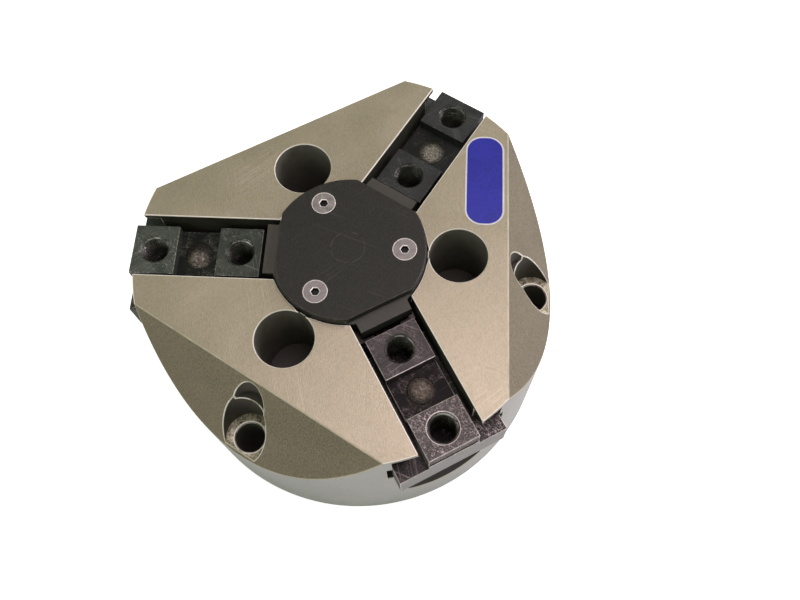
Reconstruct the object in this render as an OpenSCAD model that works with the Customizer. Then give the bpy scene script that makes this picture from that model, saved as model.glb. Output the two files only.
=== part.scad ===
// Three jaw centric gripper with a wedge hook drive.
// The origin is the centre of the base face, and +Z points to the jaws.
// Jaws are drawn closed. They open outwards as the piston moves down.

/* [Housing] */
// Diameter of the round body
body_d = 118; // [112:1:124]
// Height of the body from base face to top face
body_h = 61; // [59:0.5:64]
// Chamfer round the base edge
base_chamfer = 0.8; // [0.4:0.1:1.2]
// Distance from the axis to the top edge of each slanted facet
facet_offset = 43.5; // [42.5:0.5:45]
// Angle of the facets below horizontal
facet_angle = 61.5; // [58:0.5:64]
// Diameter of the deep bores in the top face
deep_bore_d = 16; // [12:0.5:16.5]
// Distance from the axis to the deep bores
deep_bore_r = 30; // [29:0.5:33]
// Depth of the deep bores
deep_bore_depth = 26; // [10:1:26]
// Chamfer at the mouth of bores and tapped holes
mouth_chamfer = 0.6; // [0.3:0.1:1]

/* [Fixing holes] */
// Distance from the edge of the body to the axes of the three fixing holes
fixing_edge = 5.7; // [5:0.1:6.4]
// Diameter of the fixing holes
fixing_d = 8.4; // [6.6:0.1:8.4]
// Diameter of the counterbore for the screw head
fixing_head_d = 13.8; // [11:0.2:14.2]
// Height of the seat of the screw head above the base face
fixing_seat_z = 33.8; // [30:0.2:36]
// Diameter of the clearance pocket inside each counterbore
pocket_d = 9.8; // [8:0.2:10.4]
// Distance from the edge of the body to the axis of the clearance pocket
pocket_edge = 10; // [9:0.1:10.5]
// Depth of the pocket floor below the top face
pocket_depth = 11.5; // [9:0.5:14]
// Diameter of the two dowel bores in the base face
dowel_d = 6; // [4:0.5:7]
// Depth of the dowel bores
dowel_depth = 8; // [6:0.5:12]

/* [Jaw guides] */
// Width of the guide slot at the top face
slot_neck_w = 18.1; // [17:0.1:18.4]
// Running clearance of the jaw in its guide, per side
guide_gap = 0.05; // [0.03:0.01:0.08]
// Clearance beside the T wings in the widened mouth of the slot
mouth_side = 1.45; // [1:0.05:1.7]
// Radial depth of the widened mouth of the slot
mouth_depth = 5; // [4:0.5:7]
// Thickness of the lip left above the mouth of the slot
mouth_lip = 1.8; // [1.4:0.1:2.5]
// Width of the channel below the guide
channel_w = 24; // [20:0.5:25]
// Height of the channel below the guide
channel_h = 7.5; // [7:0.1:7.8]
// Length of the relief at the mouth of the channel
mouth_relief = 9; // [6:0.5:9.5]

/* [Base jaws] */
// Distance from the axis to the front of a closed jaw
jaw_front = 61; // [60:0.5:62]
// Width of the raised blocks
block_w = 14.7; // [13:0.1:16]
// Depth of the block tops below the top face
block_drop = 2.9; // [2:0.1:3.5]
// Width of the T wings
wing_w = 31.4; // [28:0.2:31.8]
// Height of the T wings
wing_h = 10.5; // [9:0.25:10.5]
// Depth of the T wings below the top face
wing_drop = 9.5; // [9:0.1:10]
// Distance from the jaw front to the outer tapped hole
hole_edge = 6.5; // [6:0.1:7]
// Distance between the two tapped holes of a jaw
hole_pitch = 24; // [23:0.5:25]
// Core diameter of the tapped holes
jaw_tap_d = 6.8; // [5:0.1:7]
// Depth of the tapped holes
jaw_tap_depth = 15; // [10:0.5:15.5]
// Chamfer at the mouth of the tapped holes
jaw_tap_chamfer = 0.85; // [0.6:0.05:1.2]
// Width of the cross groove
groove_w = 11.5; // [10:0.1:12]
// Depth of the cross groove
groove_depth = 3.1; // [2.5:0.1:4]
// Distance from the axis to the inner end of the raised blocks
block_inner = 24.5; // [24:0.1:25]
// Distance from the axis to the inner end of the T wings
wing_inner = 27; // [26.5:0.5:29]
// Clearance under the keel of a jaw
keel_gap = 0.5; // [0.3:0.1:1]
// Set-back of the upper front above the ground band
front_step = 0.4; // [0.2:0.1:0.8]
// Height of the ground band above the wings
band_h = 1.8; // [1:0.1:2.5]
// Diameter of the domed pin in the cross groove
pin_d = 8; // [6:0.5:9]
// Height of the dome above the groove floor
dome_h = 1; // [0.6:0.1:1.6]
// Depth of the pin in the jaw
pin_depth = 8; // [5:0.5:10]

/* [Drive] */
// Stroke of each jaw
jaw_stroke = 8; // [6:0.5:8]
// Stroke of the piston
piston_stroke = 10; // [10:0.1:10.4]
// Distance from the axis to the wedge face at the shoulder
wedge_r = 11.85; // [11.6:0.05:12.2]
// Reach of the wedge hook lobes from the axis
lobe_reach = 23.4; // [22.5:0.1:23.6]
// Width of the wedge hook lobes
lobe_w = 16.8; // [16:0.1:17.2]
// Thickness of the wedge hook lips
lip_t = 2.2; // [1.8:0.1:2.3]
// Thickness of the hook head of a jaw
head_t = 2.6; // [2.2:0.1:2.7]
// Width of the hook head
head_w = 13; // [12:0.1:13.4]
// Width of the hook neck
neck_w = 8; // [6:0.1:9]
// Distance of the hook head below the top of the T wings
head_drop = 1; // [0.5:0.1:3]
// Running clearance of the hook in the wedge
hook_gap = 0.08; // [0.05:0.01:0.1]
// Gap between the wedge hook and the centre cover
top_gap = 2.5; // [2.3:0.1:4]
// Gap between the lowered wedge hook and the floor of its pit
wedge_gap = 0.3; // [0.2:0.1:0.6]
// Clearance round the lowered wedge hook in its pit
pit_gap = 0.85; // [0.5:0.05:1.3]

/* [Cylinder] */
// Diameter of the cylinder bore
bore_d = 80; // [76:0.5:82]
// Thickness of the cylinder cover with its spigot
cylinder_cover_t = 6.5; // [6:0.1:6.8]
// Thickness of the piston
piston_t = 6.5; // [6.2:0.1:6.8]
// Thickness of the wall between the cylinder and the pit
mid_wall = 4.2; // [3.8:0.1:4.5]
// Running clearance of the piston and rod, per side
piston_gap = 0.05; // [0.03:0.01:0.08]
// Running clearance of the seals and the guide ring, per side
seal_gap = 0.03; // [0.02:0.01:0.04]
// Diameter of the piston rod
rod_d = 18; // [16:0.5:18.5]
// Chamfer on both edges of the piston
piston_chamfer = 1; // [0.6:0.1:1.2]
// Diameter of the cylinder cover flange
flange_d = 96; // [94:0.5:96.4]
// Thickness of the flange
flange_t = 3; // [2.5:0.1:3]
// Clearance between the cylinder cover and the housing, per side
cover_gap = 0.07; // [0.05:0.01:0.1]
// Width of the wall between the two seats in the middle wall
rod_wall = 0.6; // [0.4:0.1:0.8]
// Distance from the axis to the closing springs
spring_r = 28; // [22:0.5:31]
// Outer diameter of the closing springs
spring_d = 8; // [6:0.5:9]
// Wire diameter of the closing springs
wire_d = 1; // [0.8:0.1:1.2]
// Turns of the closing springs
spring_turns = 5; // [4:1:6]
// Depth of the spring pockets
spring_pocket = 3.5; // [2.5:0.1:3.5]

/* [Centre cover] */
// Diameter of the recess for the centre cover
recess_d = 43.2; // [42.6:0.1:43.6]
// Depth of the recess for the centre cover
recess_depth = 4; // [3.5:0.1:4.2]
// Clearance round the centre cover
disc_gap = 0.22; // [0.1:0.02:0.3]
// Height of the disc above the top face
disc_rise = 2.5; // [1.5:0.1:3]
// Distance from the axis to the flats of the disc
disc_flat = 18.9; // [18:0.1:19.5]
// Width of the cover tongues
tongue_w = 15; // [14:0.1:17]
// Reach of the cover tongues from the axis
tongue_reach = 23; // [22:0.1:23.2]
// Distance from the axis to the cover screws
cover_screw_r = 15.4; // [15:0.1:16]
// Opening between the noses of the housing under the cover
nose_bore_d = 25; // [24:0.5:26]

/* [Air ports] */
// Core diameter of the tapped air ports
port_d = 4.2; // [3.2:0.1:4.2]
// Depth of the tapped air ports
port_depth = 8; // [6:0.5:9]
// Diameter of the air channels
channel_d = 2; // [1.2:0.1:2]
// Angle of each air port from the middle of its facet
port_angle = 12; // [11:0.5:14]

/* [Hidden] */
$fn = 72;
eps = 0.01;

// Directions of the jaws and of the facets between them
JAW_AZ = [180, 60, 300];
FACET_AZ = [0, 120, 240];
AIR_FACET = 120;

// Heights
body_r = body_d / 2;
fixing_r = body_r - fixing_edge;
pocket_r = body_r - pocket_edge;
wing_top = body_h - wing_drop;
wing_bottom = wing_top - wing_h;
channel_floor = wing_bottom - channel_h;
block_top = body_h - block_drop;
cover_under = body_h - recess_depth;
disc_top = body_h + disc_rise;
wedge_top = cover_under - top_gap;
deep_floor = body_h - deep_bore_depth;
roof_z = cylinder_cover_t + piston_stroke + piston_t;
pit_floor = roof_z + mid_wall;
shoulder_z = pit_floor + piston_stroke + wedge_gap;
low_port_z = cylinder_cover_t - channel_d / 2 + 0.4;
high_port_z = roof_z - channel_d / 2 - 0.1;
spring_z0 = cylinder_cover_t - spring_pocket;
spring_z1 = roof_z - piston_t + spring_pocket;

// Inclined drive: the wedge face runs outwards as it rises
slope = jaw_stroke / piston_stroke;
across = sqrt(1 + slope * slope);
function wedge_face(z) = wedge_r + slope * (z - shoulder_z);
function height_at(r) = shoulder_z + (r - wedge_r) / slope;
lip_x = lip_t * across;
cavity_x = (head_t + 2 * hook_gap) * across;
head_low = shoulder_z + 0.3;
head_high = wing_top - head_drop;
pit_r = norm([wedge_face(channel_floor + piston_stroke), lobe_w / 2]) + pit_gap;

// Screws: thread diameter, head diameter, head height and socket width
M3 = [3, 6.72, 1.86, 2];
M6 = [6, 10, 6, 5];
cover_screw_len = 10;
base_screw_len = 10;
base_screw_r = 44;
centre_screw_inset = 1.5;
thread_gap = 0.05;
fit_gap = 0.04;

pin_r_pos = jaw_front - hole_edge - hole_pitch / 2;
outer_hole_r = jaw_front - hole_edge;
inner_hole_r = outer_hole_r - hole_pitch;

// An outline in the plane of radius and height, made w wide about the XZ plane
module across_slab(points, w) {
    translate([0, w / 2, 0]) rotate([90, 0, 0]) linear_extrude(w) polygon(points);
}

// A rectangle in radius and height, made w wide
module radial_block(r0, r1, z0, z1, w) {
    translate([r0, -w / 2, z0]) cube([r1 - r0, w, z1 - z0]);
}

// A bore with a chamfered mouth at z1
module chamfered_bore(d, z0, z1, chamfer) {
    translate([0, 0, z0]) cylinder(d = d, h = z1 - z0 + eps);
    translate([0, 0, z1 - chamfer]) cylinder(d1 = d, d2 = d + 2 * chamfer + 2 * eps, h = chamfer + eps);
}

module ring(d_out, d_in, z0, z1) {
    translate([0, 0, z0]) difference() {
        cylinder(d = d_out, h = z1 - z0);
        translate([0, 0, -eps]) cylinder(d = d_in, h = z1 - z0 + 2 * eps);
    }
}

module o_ring(d_centre, d_section, z) {
    translate([0, 0, z]) rotate_extrude() translate([d_centre / 2, 0]) circle(d = d_section, $fn = 24);
}

module hex_socket(af, z0, z1) {
    translate([0, 0, z0]) cylinder(d = af / cos(30), h = z1 - z0 + eps, $fn = 6);
}

// Countersunk screw with its head flush at z = 0 and its thread down
module countersunk_screw(m, len) {
    difference() {
        rotate_extrude() polygon([
            [0, 0], [m[1] / 2, 0], [m[1] / 2, -0.2], [m[0] / 2, -m[2]],
            [m[0] / 2, -len + 0.3], [m[0] / 2 - 0.3, -len], [0, -len]
        ]);
        hex_socket(m[3], -1.2, 0);
    }
}

module countersunk_hole(m, depth) {
    rotate_extrude() polygon([
        [0, eps], [m[1] / 2 + thread_gap, eps], [m[1] / 2 + thread_gap, -0.2 - thread_gap],
        [m[0] / 2 + thread_gap, -m[2] - thread_gap], [m[0] / 2 + thread_gap, -depth], [0, -depth]
    ]);
}

module at_jaws() {
    for (a = JAW_AZ) rotate([0, 0, a]) children();
}

module at_facets(r) {
    for (a = FACET_AZ) rotate([0, 0, a]) translate([r, 0, 0]) children();
}

module at_base_screws() {
    for (i = [0:5]) rotate([0, 0, 30 + 60 * i]) translate([base_screw_r, 0, 0]) children();
}

module at_springs() {
    for (i = [0:5]) rotate([0, 0, 30 + 60 * i]) translate([spring_r, 0, 0]) children();
}

// ---- Housing ----

module body_blank() {
    rotate_extrude($fn = 144) polygon([
        [0, 0], [body_r - base_chamfer, 0], [body_r, base_chamfer], [body_r, body_h], [0, body_h]
    ]);
}

module facet_cut() {
    translate([facet_offset, 0, body_h]) rotate([0, facet_angle, 0])
        translate([-1, -body_r, 0]) cube([body_r, body_d, body_r]);
}

// T-slot of one jaw with its widened mouth, and the channel below with its sloping floor
module guide_slot() {
    guide_w = wing_w + 2 * guide_gap;
    z_low = wing_bottom - guide_gap;
    z_high = wing_top + guide_gap;
    reach = body_r + 5;
    radial_block(0, reach, z_high - eps, body_h + 1, slot_neck_w);
    radial_block(0, reach, z_low, z_high, guide_w);
    mouth_r = body_r - mouth_depth;
    radial_block(mouth_r, reach, z_low, z_high, guide_w + 2 * mouth_side);
    radial_block(mouth_r, reach, z_high, body_h - mouth_lip, guide_w);
    radial_block(0, reach, channel_floor, z_low + eps, channel_w);
    relief_r = body_r - mouth_relief;
    across_slab([
        [relief_r, channel_floor + 1], [relief_r, channel_floor],
        [reach, channel_floor - (reach - relief_r) * tan(facet_angle)], [reach, channel_floor + 1]
    ], channel_w);
}

// Counterbored fixing hole with the clearance pocket beside it
module fixing_hole() {
    translate([fixing_r, 0, -1]) cylinder(d = fixing_d, h = body_h);
    translate([fixing_r, 0, fixing_seat_z]) cylinder(d = fixing_head_d, h = body_h);
    translate([fixing_r, 0, fixing_seat_z - mouth_chamfer / 2])
        cylinder(d1 = fixing_d, d2 = fixing_d + mouth_chamfer, h = mouth_chamfer / 2 + eps);
    translate([pocket_r, 0, body_h - pocket_depth]) cylinder(d = pocket_d, h = body_h);
}

// Tapped port in the side wall and its channel to the cylinder
module air_port(z) {
    translate([body_r - port_depth, 0, z]) rotate([0, 90, 0]) cylinder(d = port_d, h = port_depth + 1);
    translate([body_r - mouth_chamfer, 0, z]) rotate([0, 90, 0])
        cylinder(d1 = port_d, d2 = port_d + 4 * mouth_chamfer, h = 2 * mouth_chamfer);
    translate([bore_d / 2 - 1, 0, z]) rotate([0, 90, 0]) cylinder(d = channel_d, h = body_r - bore_d / 2);
}

module cylinder_cut() {
    translate([0, 0, -1]) cylinder(d = bore_d, h = roof_z + 1);
    translate([0, 0, -1]) cylinder(d = flange_d, h = flange_t + 1);
    at_base_screws() cylinder(d = M3[0] + 2 * thread_gap, h = base_screw_len + 1.5);
}

// Rod seal and rod bush sit in the middle wall from below
bush_d = rod_d + 3;
rod_seal_z = roof_z + rod_wall;
rod_seal_d = 1.6;
rod_seal_h = rod_seal_d + 2 * fit_gap;
bush_z = rod_seal_z + rod_seal_h;
module rod_cut() {
    translate([0, 0, roof_z - eps]) cylinder(d = rod_d + 2 * piston_gap + 0.4, h = pit_floor - roof_z + 1);
    translate([0, 0, rod_seal_z]) cylinder(d = rod_d + 2 * rod_seal_d + 0.4, h = rod_seal_h);
    translate([0, 0, bush_z - eps]) cylinder(d = bush_d, h = pit_floor - bush_z + 1);
}

module housing() {
    color([0.66, 0.62, 0.54]) difference() {
        body_blank();
        for (a = FACET_AZ) rotate([0, 0, a]) facet_cut();
        at_jaws() guide_slot();
        at_facets(0) fixing_hole();
        at_facets(deep_bore_r) chamfered_bore(deep_bore_d, deep_floor, body_h, mouth_chamfer);
        translate([0, 0, cover_under]) cylinder(d = recess_d, h = recess_depth + 1);
        translate([0, 0, wing_top]) cylinder(d = nose_bore_d, h = recess_depth + wing_drop);
        translate([0, 0, pit_floor]) cylinder(r = pit_r, h = channel_floor - pit_floor + eps);
        at_facets(cover_screw_r) translate([0, 0, wing_top - 1])
            cylinder(d = M3[0] + 2 * thread_gap, h = cover_under - wing_top + 2);
        cylinder_cut();
        rod_cut();
        rotate([0, 0, AIR_FACET - port_angle]) air_port(low_port_z);
        rotate([0, 0, AIR_FACET + port_angle]) air_port(high_port_z);
        for (a = [JAW_AZ[0], JAW_AZ[1]]) rotate([0, 0, a]) translate([fixing_r, 0, -eps])
            cylinder(d = dowel_d, h = dowel_depth);
    }
}

// ---- Cylinder ----

seal_d = 1.5;
cover_seal_z = flange_t + 0.2 + seal_d / 2;

module cylinder_cover() {
    spigot_r = bore_d / 2 - cover_gap;
    edge = cylinder_cover_t - cover_seal_z - seal_d / 2 - 0.2;
    color([0.72, 0.72, 0.70]) difference() {
        rotate_extrude($fn = 144) polygon([
            [0, 0], [flange_d / 2 - cover_gap, 0], [flange_d / 2 - cover_gap, flange_t],
            [spigot_r, flange_t], [spigot_r, cylinder_cover_t - edge],
            [spigot_r - edge, cylinder_cover_t], [0, cylinder_cover_t]
        ]);
        ring(bore_d + 1, bore_d - 2 * seal_d - 4 * fit_gap, cover_seal_z - seal_d / 2 - fit_gap,
             cover_seal_z + seal_d / 2 + fit_gap);
        at_springs() translate([0, 0, spring_z0]) cylinder(d = spring_d + 1, h = spring_pocket + 1);
        at_base_screws() rotate([180, 0, 0]) countersunk_hole(M3, base_screw_len + 2);
    }
}

module cylinder_cover_seal() {
    color([0.1, 0.1, 0.1]) o_ring(bore_d - seal_d - 2 * fit_gap, seal_d, cover_seal_z);
}

module cylinder_cover_screws() {
    color([0.75, 0.75, 0.75]) at_base_screws() rotate([180, 0, 0]) countersunk_screw(M3, base_screw_len);
}

module rod_bush() {
    color([0.72, 0.5, 0.25])
        ring(bush_d - 2 * fit_gap, rod_d + 2 * piston_gap, bush_z + fit_gap, pit_floor - fit_gap);
}

module rod_seal() {
    color([0.1, 0.1, 0.1])
        o_ring(rod_d + 2 * seal_gap + rod_seal_d, rod_seal_d, rod_seal_z + rod_seal_h / 2);
}

// ---- Piston ----

groove_land = 0.4;
guide_h = 1;
seal_h = 1.6;
guide_groove_z = roof_z - piston_t + piston_chamfer + groove_land / 2;
seal_groove_z = guide_groove_z + guide_h + groove_land;
seal_depth = 2.6;
guide_depth = 1.2;
piston_r = bore_d / 2 - piston_gap;

module piston() {
    low = roof_z - piston_t;
    color([0.62, 0.62, 0.64]) difference() {
        rotate_extrude($fn = 144) polygon([
            [0, low], [piston_r - piston_chamfer, low], [piston_r, low + piston_chamfer],
            [piston_r, roof_z - piston_chamfer], [piston_r - piston_chamfer, roof_z],
            [rod_d / 2, roof_z], [rod_d / 2, shoulder_z], [0, shoulder_z]
        ]);
        ring(bore_d + 1, 2 * (piston_r - seal_depth), seal_groove_z, seal_groove_z + seal_h);
        ring(bore_d + 1, 2 * (piston_r - guide_depth), guide_groove_z, guide_groove_z + guide_h);
        at_springs() translate([0, 0, low - 1]) cylinder(d = spring_d + 1, h = spring_pocket + 1);
        translate([0, 0, centre_tip_z - thread_gap])
            cylinder(d = M6[0] + 2 * thread_gap, h = shoulder_z - centre_tip_z + 1);
    }
}

module piston_seal() {
    color([0.12, 0.12, 0.12])
        ring(bore_d - 2 * seal_gap, 2 * (piston_r - seal_depth + fit_gap), seal_groove_z + fit_gap,
             seal_groove_z + seal_h - fit_gap);
}

module piston_guide_ring() {
    color([0.5, 0.35, 0.2])
        ring(bore_d - 2 * seal_gap, 2 * (piston_r - guide_depth + fit_gap), guide_groove_z + fit_gap,
             guide_groove_z + guide_h - fit_gap);
}

// One spring as a wire of hexagonal section along a helix
module spring() {
    steps = 12 * spring_turns;
    sides = 6;
    r = (spring_d - wire_d) / 2;
    low = spring_z0 + wire_d / 2 + 0.1;
    rise = spring_z1 - spring_z0 - wire_d - 0.2;
    points = [
        for (i = [0:steps], k = [0:sides - 1])
            let (a = 30 * i, b = 360 * k / sides, q = r + wire_d / 2 * cos(b))
            [q * cos(a), q * sin(a), low + rise * i / steps + wire_d / 2 * sin(b)]
    ];
    walls = [
        for (i = [0:steps - 1], k = [0:sides - 1])
            let (p = i * sides + k, n = i * sides + (k + 1) % sides) [p, n, n + sides, p + sides]
    ];
    start = [for (k = [sides - 1:-1:0]) k];
    end = [for (k = [0:sides - 1]) steps * sides + k];
    polyhedron(points = points, faces = concat([start], walls, [end]));
}

module closing_springs() {
    color([0.7, 0.7, 0.72]) at_springs() spring();
}

// ---- Wedge hook ----

// Band of the drive between two distances behind the wedge face
function band(near, far, z0, z1) = [
    [wedge_face(z0) - far, z0], [wedge_face(z0) - near, z0],
    [wedge_face(z1) - near, z1], [wedge_face(z1) - far, z1]
];

module lobe() {
    back = -wedge_r / 4;
    corner_z = min(wedge_top, height_at(lobe_reach));
    corner_r = wedge_face(corner_z);
    across_slab([
        [back, shoulder_z], [wedge_r, shoulder_z], [corner_r, corner_z], [corner_r, wedge_top],
        [back, wedge_top]
    ], lobe_w);
}

module hook_slot() {
    z0 = shoulder_z - 1;
    z1 = wedge_top + 1;
    across_slab(band(-1, lip_x + eps, z0, z1), neck_w + 2 * hook_gap);
    across_slab(band(lip_x, lip_x + cavity_x, z0, z1), head_w + 2 * hook_gap);
}

centre_head_z = wedge_top - 0.5 - M6[2];
centre_tip_z = roof_z - piston_t + centre_screw_inset;
centre_screw_len = centre_head_z - centre_tip_z;

module wedge_hook() {
    color([0.42, 0.42, 0.45]) difference() {
        union() {
            at_jaws() lobe();
        }
        at_jaws() hook_slot();
        translate([0, 0, shoulder_z - 1]) cylinder(d = M6[0] + 4 * thread_gap, h = body_h);
        translate([0, 0, centre_head_z]) cylinder(d = M6[1] + 0.6, h = body_h);
    }
}

module wedge_hook_screw() {
    color([0.2, 0.2, 0.2]) difference() {
        translate([0, 0, centre_tip_z]) rotate_extrude() polygon([
            [0, 0], [M6[0] / 2 - 0.5, 0], [M6[0] / 2, 0.5], [M6[0] / 2, centre_screw_len],
            [M6[1] / 2, centre_screw_len], [M6[1] / 2, centre_screw_len + M6[2] - 0.4],
            [M6[1] / 2 - 0.4, centre_screw_len + M6[2]], [0, centre_screw_len + M6[2]]
        ]);
        hex_socket(M6[3], centre_head_z + M6[2] / 2, centre_head_z + M6[2]);
    }
}

// ---- Base jaws ----

keel_low = channel_floor + keel_gap;
keel_inner = 12;
keel_outer = 48;
face_gap = 0.3;

// Middle of the jaw: raised blocks, cross groove, keel and the inclined inner end
module jaw_middle() {
    band_z = wing_top + band_h;
    groove_z = block_top - groove_depth;
    corner_z = min(block_top, height_at(block_inner - face_gap));
    corner_r = wedge_face(corner_z) + face_gap;
    toe_r = max(keel_inner, wedge_face(keel_low) + face_gap);
    across_slab([
        [jaw_front, wing_bottom], [jaw_front, band_z], [jaw_front - front_step, band_z],
        [jaw_front - front_step, block_top], [pin_r_pos + groove_w / 2, block_top],
        [pin_r_pos + groove_w / 2, groove_z], [pin_r_pos - groove_w / 2, groove_z],
        [pin_r_pos - groove_w / 2, block_top], [corner_r, block_top], [corner_r, corner_z],
        [toe_r, height_at(toe_r - face_gap)], [toe_r, keel_low], [keel_outer, keel_low],
        [keel_outer + 4, wing_bottom]
    ], block_w);
}

module jaw_hook() {
    head_near = lip_x + hook_gap * across;
    across_slab(band(-face_gap - 1, head_near + 1, head_low, head_high), neck_w);
    across_slab(band(head_near, head_near + head_t * across, head_low, head_high), head_w);
}

module base_jaw(i) {
    color([0.2, 0.2, 0.21]) rotate([0, 0, JAW_AZ[i]]) difference() {
        union() {
            jaw_middle();
            radial_block(wing_inner, jaw_front, wing_bottom, wing_top, wing_w);
            jaw_hook();
        }
        for (r = [outer_hole_r, inner_hole_r]) translate([r, 0, 0])
            chamfered_bore(jaw_tap_d, block_top - jaw_tap_depth, block_top, jaw_tap_chamfer);
        translate([pin_r_pos, 0, block_top - groove_depth - pin_depth - 0.3])
            cylinder(d = pin_d + fit_gap, h = body_h);
    }
}

module jaw_pin(i) {
    floor_z = block_top - groove_depth;
    dome_r = (pin_d * pin_d / 4 + dome_h * dome_h) / (2 * dome_h);
    color([0.6, 0.58, 0.55]) rotate([0, 0, JAW_AZ[i]]) translate([pin_r_pos, 0, floor_z]) {
        translate([0, 0, -pin_depth]) cylinder(d = pin_d, h = pin_depth);
        intersection() {
            translate([0, 0, dome_h - dome_r]) sphere(r = dome_r);
            cylinder(d = pin_d, h = dome_h + 1);
        }
    }
}

// ---- Centre cover ----

module cover_plate() {
    plate_r = recess_d / 2 - disc_gap;
    edge = 0.3;
    color([0.2, 0.2, 0.19]) difference() {
        union() {
            intersection() {
                translate([0, 0, cover_under]) rotate_extrude($fn = 144) polygon([
                    [0, 0], [plate_r, 0], [plate_r, disc_top - cover_under - edge],
                    [plate_r - edge, disc_top - cover_under], [0, disc_top - cover_under]
                ]);
                union() {
                    translate([0, 0, cover_under - 1]) cylinder(r = recess_d, h = recess_depth + 1);
                    linear_extrude(disc_top + 1) intersection_for (a = JAW_AZ) {
                        rotate([0, 0, a]) translate([-recess_d, -recess_d])
                            square([recess_d + disc_flat, 2 * recess_d]);
                    }
                }
            }
            at_jaws() radial_block(0, tongue_reach, cover_under, body_h, tongue_w);
        }
        at_facets(cover_screw_r) translate([0, 0, disc_top]) countersunk_hole(M3, cover_screw_len + 2);
    }
}

module cover_plate_screws() {
    color([0.8, 0.8, 0.78]) at_facets(cover_screw_r) translate([0, 0, disc_top])
        countersunk_screw(M3, cover_screw_len);
}

housing();
cylinder_cover();
cylinder_cover_seal();
cylinder_cover_screws();
cover_plate();
cover_plate_screws();
rod_bush();
rod_seal();
piston();
piston_seal();
piston_guide_ring();
wedge_hook();
wedge_hook_screw();
closing_springs();
base_jaw(0);  // base_jaw_1
base_jaw(1);  // base_jaw_2
base_jaw(2);  // base_jaw_3
jaw_pin(0);  // jaw_pin_1
jaw_pin(1);  // jaw_pin_2
jaw_pin(2);  // jaw_pin_3
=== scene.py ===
"""Dressed scene of a three jaw centric gripper.

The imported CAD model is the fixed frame. This script gives every node its finish, puts a
softly broken edge on the machined pieces, cuts the threads of the jaws, winds the closing
springs and adds the bare label plate, the studio and the camera.
"""

import logging
import math
from dataclasses import dataclass, field, replace
from enum import Enum
from typing import Callable, Iterable, Protocol, Sequence, Union

import bmesh
import bpy
import numpy as np
from mathutils import Matrix, Vector


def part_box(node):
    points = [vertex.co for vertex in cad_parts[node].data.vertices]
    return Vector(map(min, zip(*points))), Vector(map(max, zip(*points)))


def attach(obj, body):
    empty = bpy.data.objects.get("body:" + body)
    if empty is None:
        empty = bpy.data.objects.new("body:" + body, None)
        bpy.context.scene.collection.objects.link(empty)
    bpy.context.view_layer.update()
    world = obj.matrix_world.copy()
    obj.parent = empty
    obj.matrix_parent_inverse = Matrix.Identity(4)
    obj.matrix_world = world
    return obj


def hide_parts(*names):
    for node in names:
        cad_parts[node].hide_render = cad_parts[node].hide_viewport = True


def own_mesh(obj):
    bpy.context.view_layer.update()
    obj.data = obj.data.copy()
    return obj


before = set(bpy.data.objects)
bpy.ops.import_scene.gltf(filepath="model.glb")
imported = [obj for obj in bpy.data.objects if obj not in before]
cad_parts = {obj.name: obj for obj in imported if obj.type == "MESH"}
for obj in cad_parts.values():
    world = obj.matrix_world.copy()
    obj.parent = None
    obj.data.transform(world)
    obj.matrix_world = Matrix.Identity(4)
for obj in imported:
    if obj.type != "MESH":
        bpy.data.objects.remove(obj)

LOG = logging.getLogger("gripper")
MM = 0.001
FACET_AZIMUTHS = (0.0, 120.0, 240.0)
UP = 0.99  # least share of a normal along the direction that it looks in

RGB = tuple[float, float, float]
Point = tuple[float, float, float]
Socket = bpy.types.NodeSocket
Value = Union[bpy.types.NodeSocket, float]
Colour = Union[bpy.types.NodeSocket, RGB]


class Body(Enum):
    """Bodies that pieces ride on."""

    HOUSING = "housing"
    JAW_1 = "jaw_1"
    JAW_2 = "jaw_2"
    JAW_3 = "jaw_3"


class Slot(Enum):
    """Material slots of the record."""

    BODY = "body_metal"
    COVER = "dark_cover"
    JAW = "jaw_steel"
    SCREW = "screw_steel"
    SPRING = "spring_steel"


class Maths(Enum):
    """What a math node can work out."""

    ADD = "ADD"
    SUBTRACT = "SUBTRACT"
    MULTIPLY = "MULTIPLY"
    MAXIMUM = "MAXIMUM"
    ABSOLUTE = "ABSOLUTE"
    LESS_THAN = "LESS_THAN"


def srgb(red: float, green: float, blue: float) -> RGB:
    """Turns a display colour into the linear one a shader takes.

    Args:
        red: Red, 0 to 255.
        green: Green, 0 to 255.
        blue: Blue, 0 to 255.

    Returns:
        The linear colour.
    """

    def linear(value: float) -> float:
        """Turns one channel."""
        value /= 255.0
        return value / 12.92 if value <= 0.04045 else ((value + 0.055) / 1.055) ** 2.4

    return linear(red), linear(green), linear(blue)


def direction(azimuth: float) -> np.ndarray:
    """Gives the unit vector in the plane for an azimuth in degrees."""
    angle = math.radians(azimuth)
    return np.array([math.cos(angle), math.sin(angle), 0.0])


# ---- Finishes ----


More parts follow.
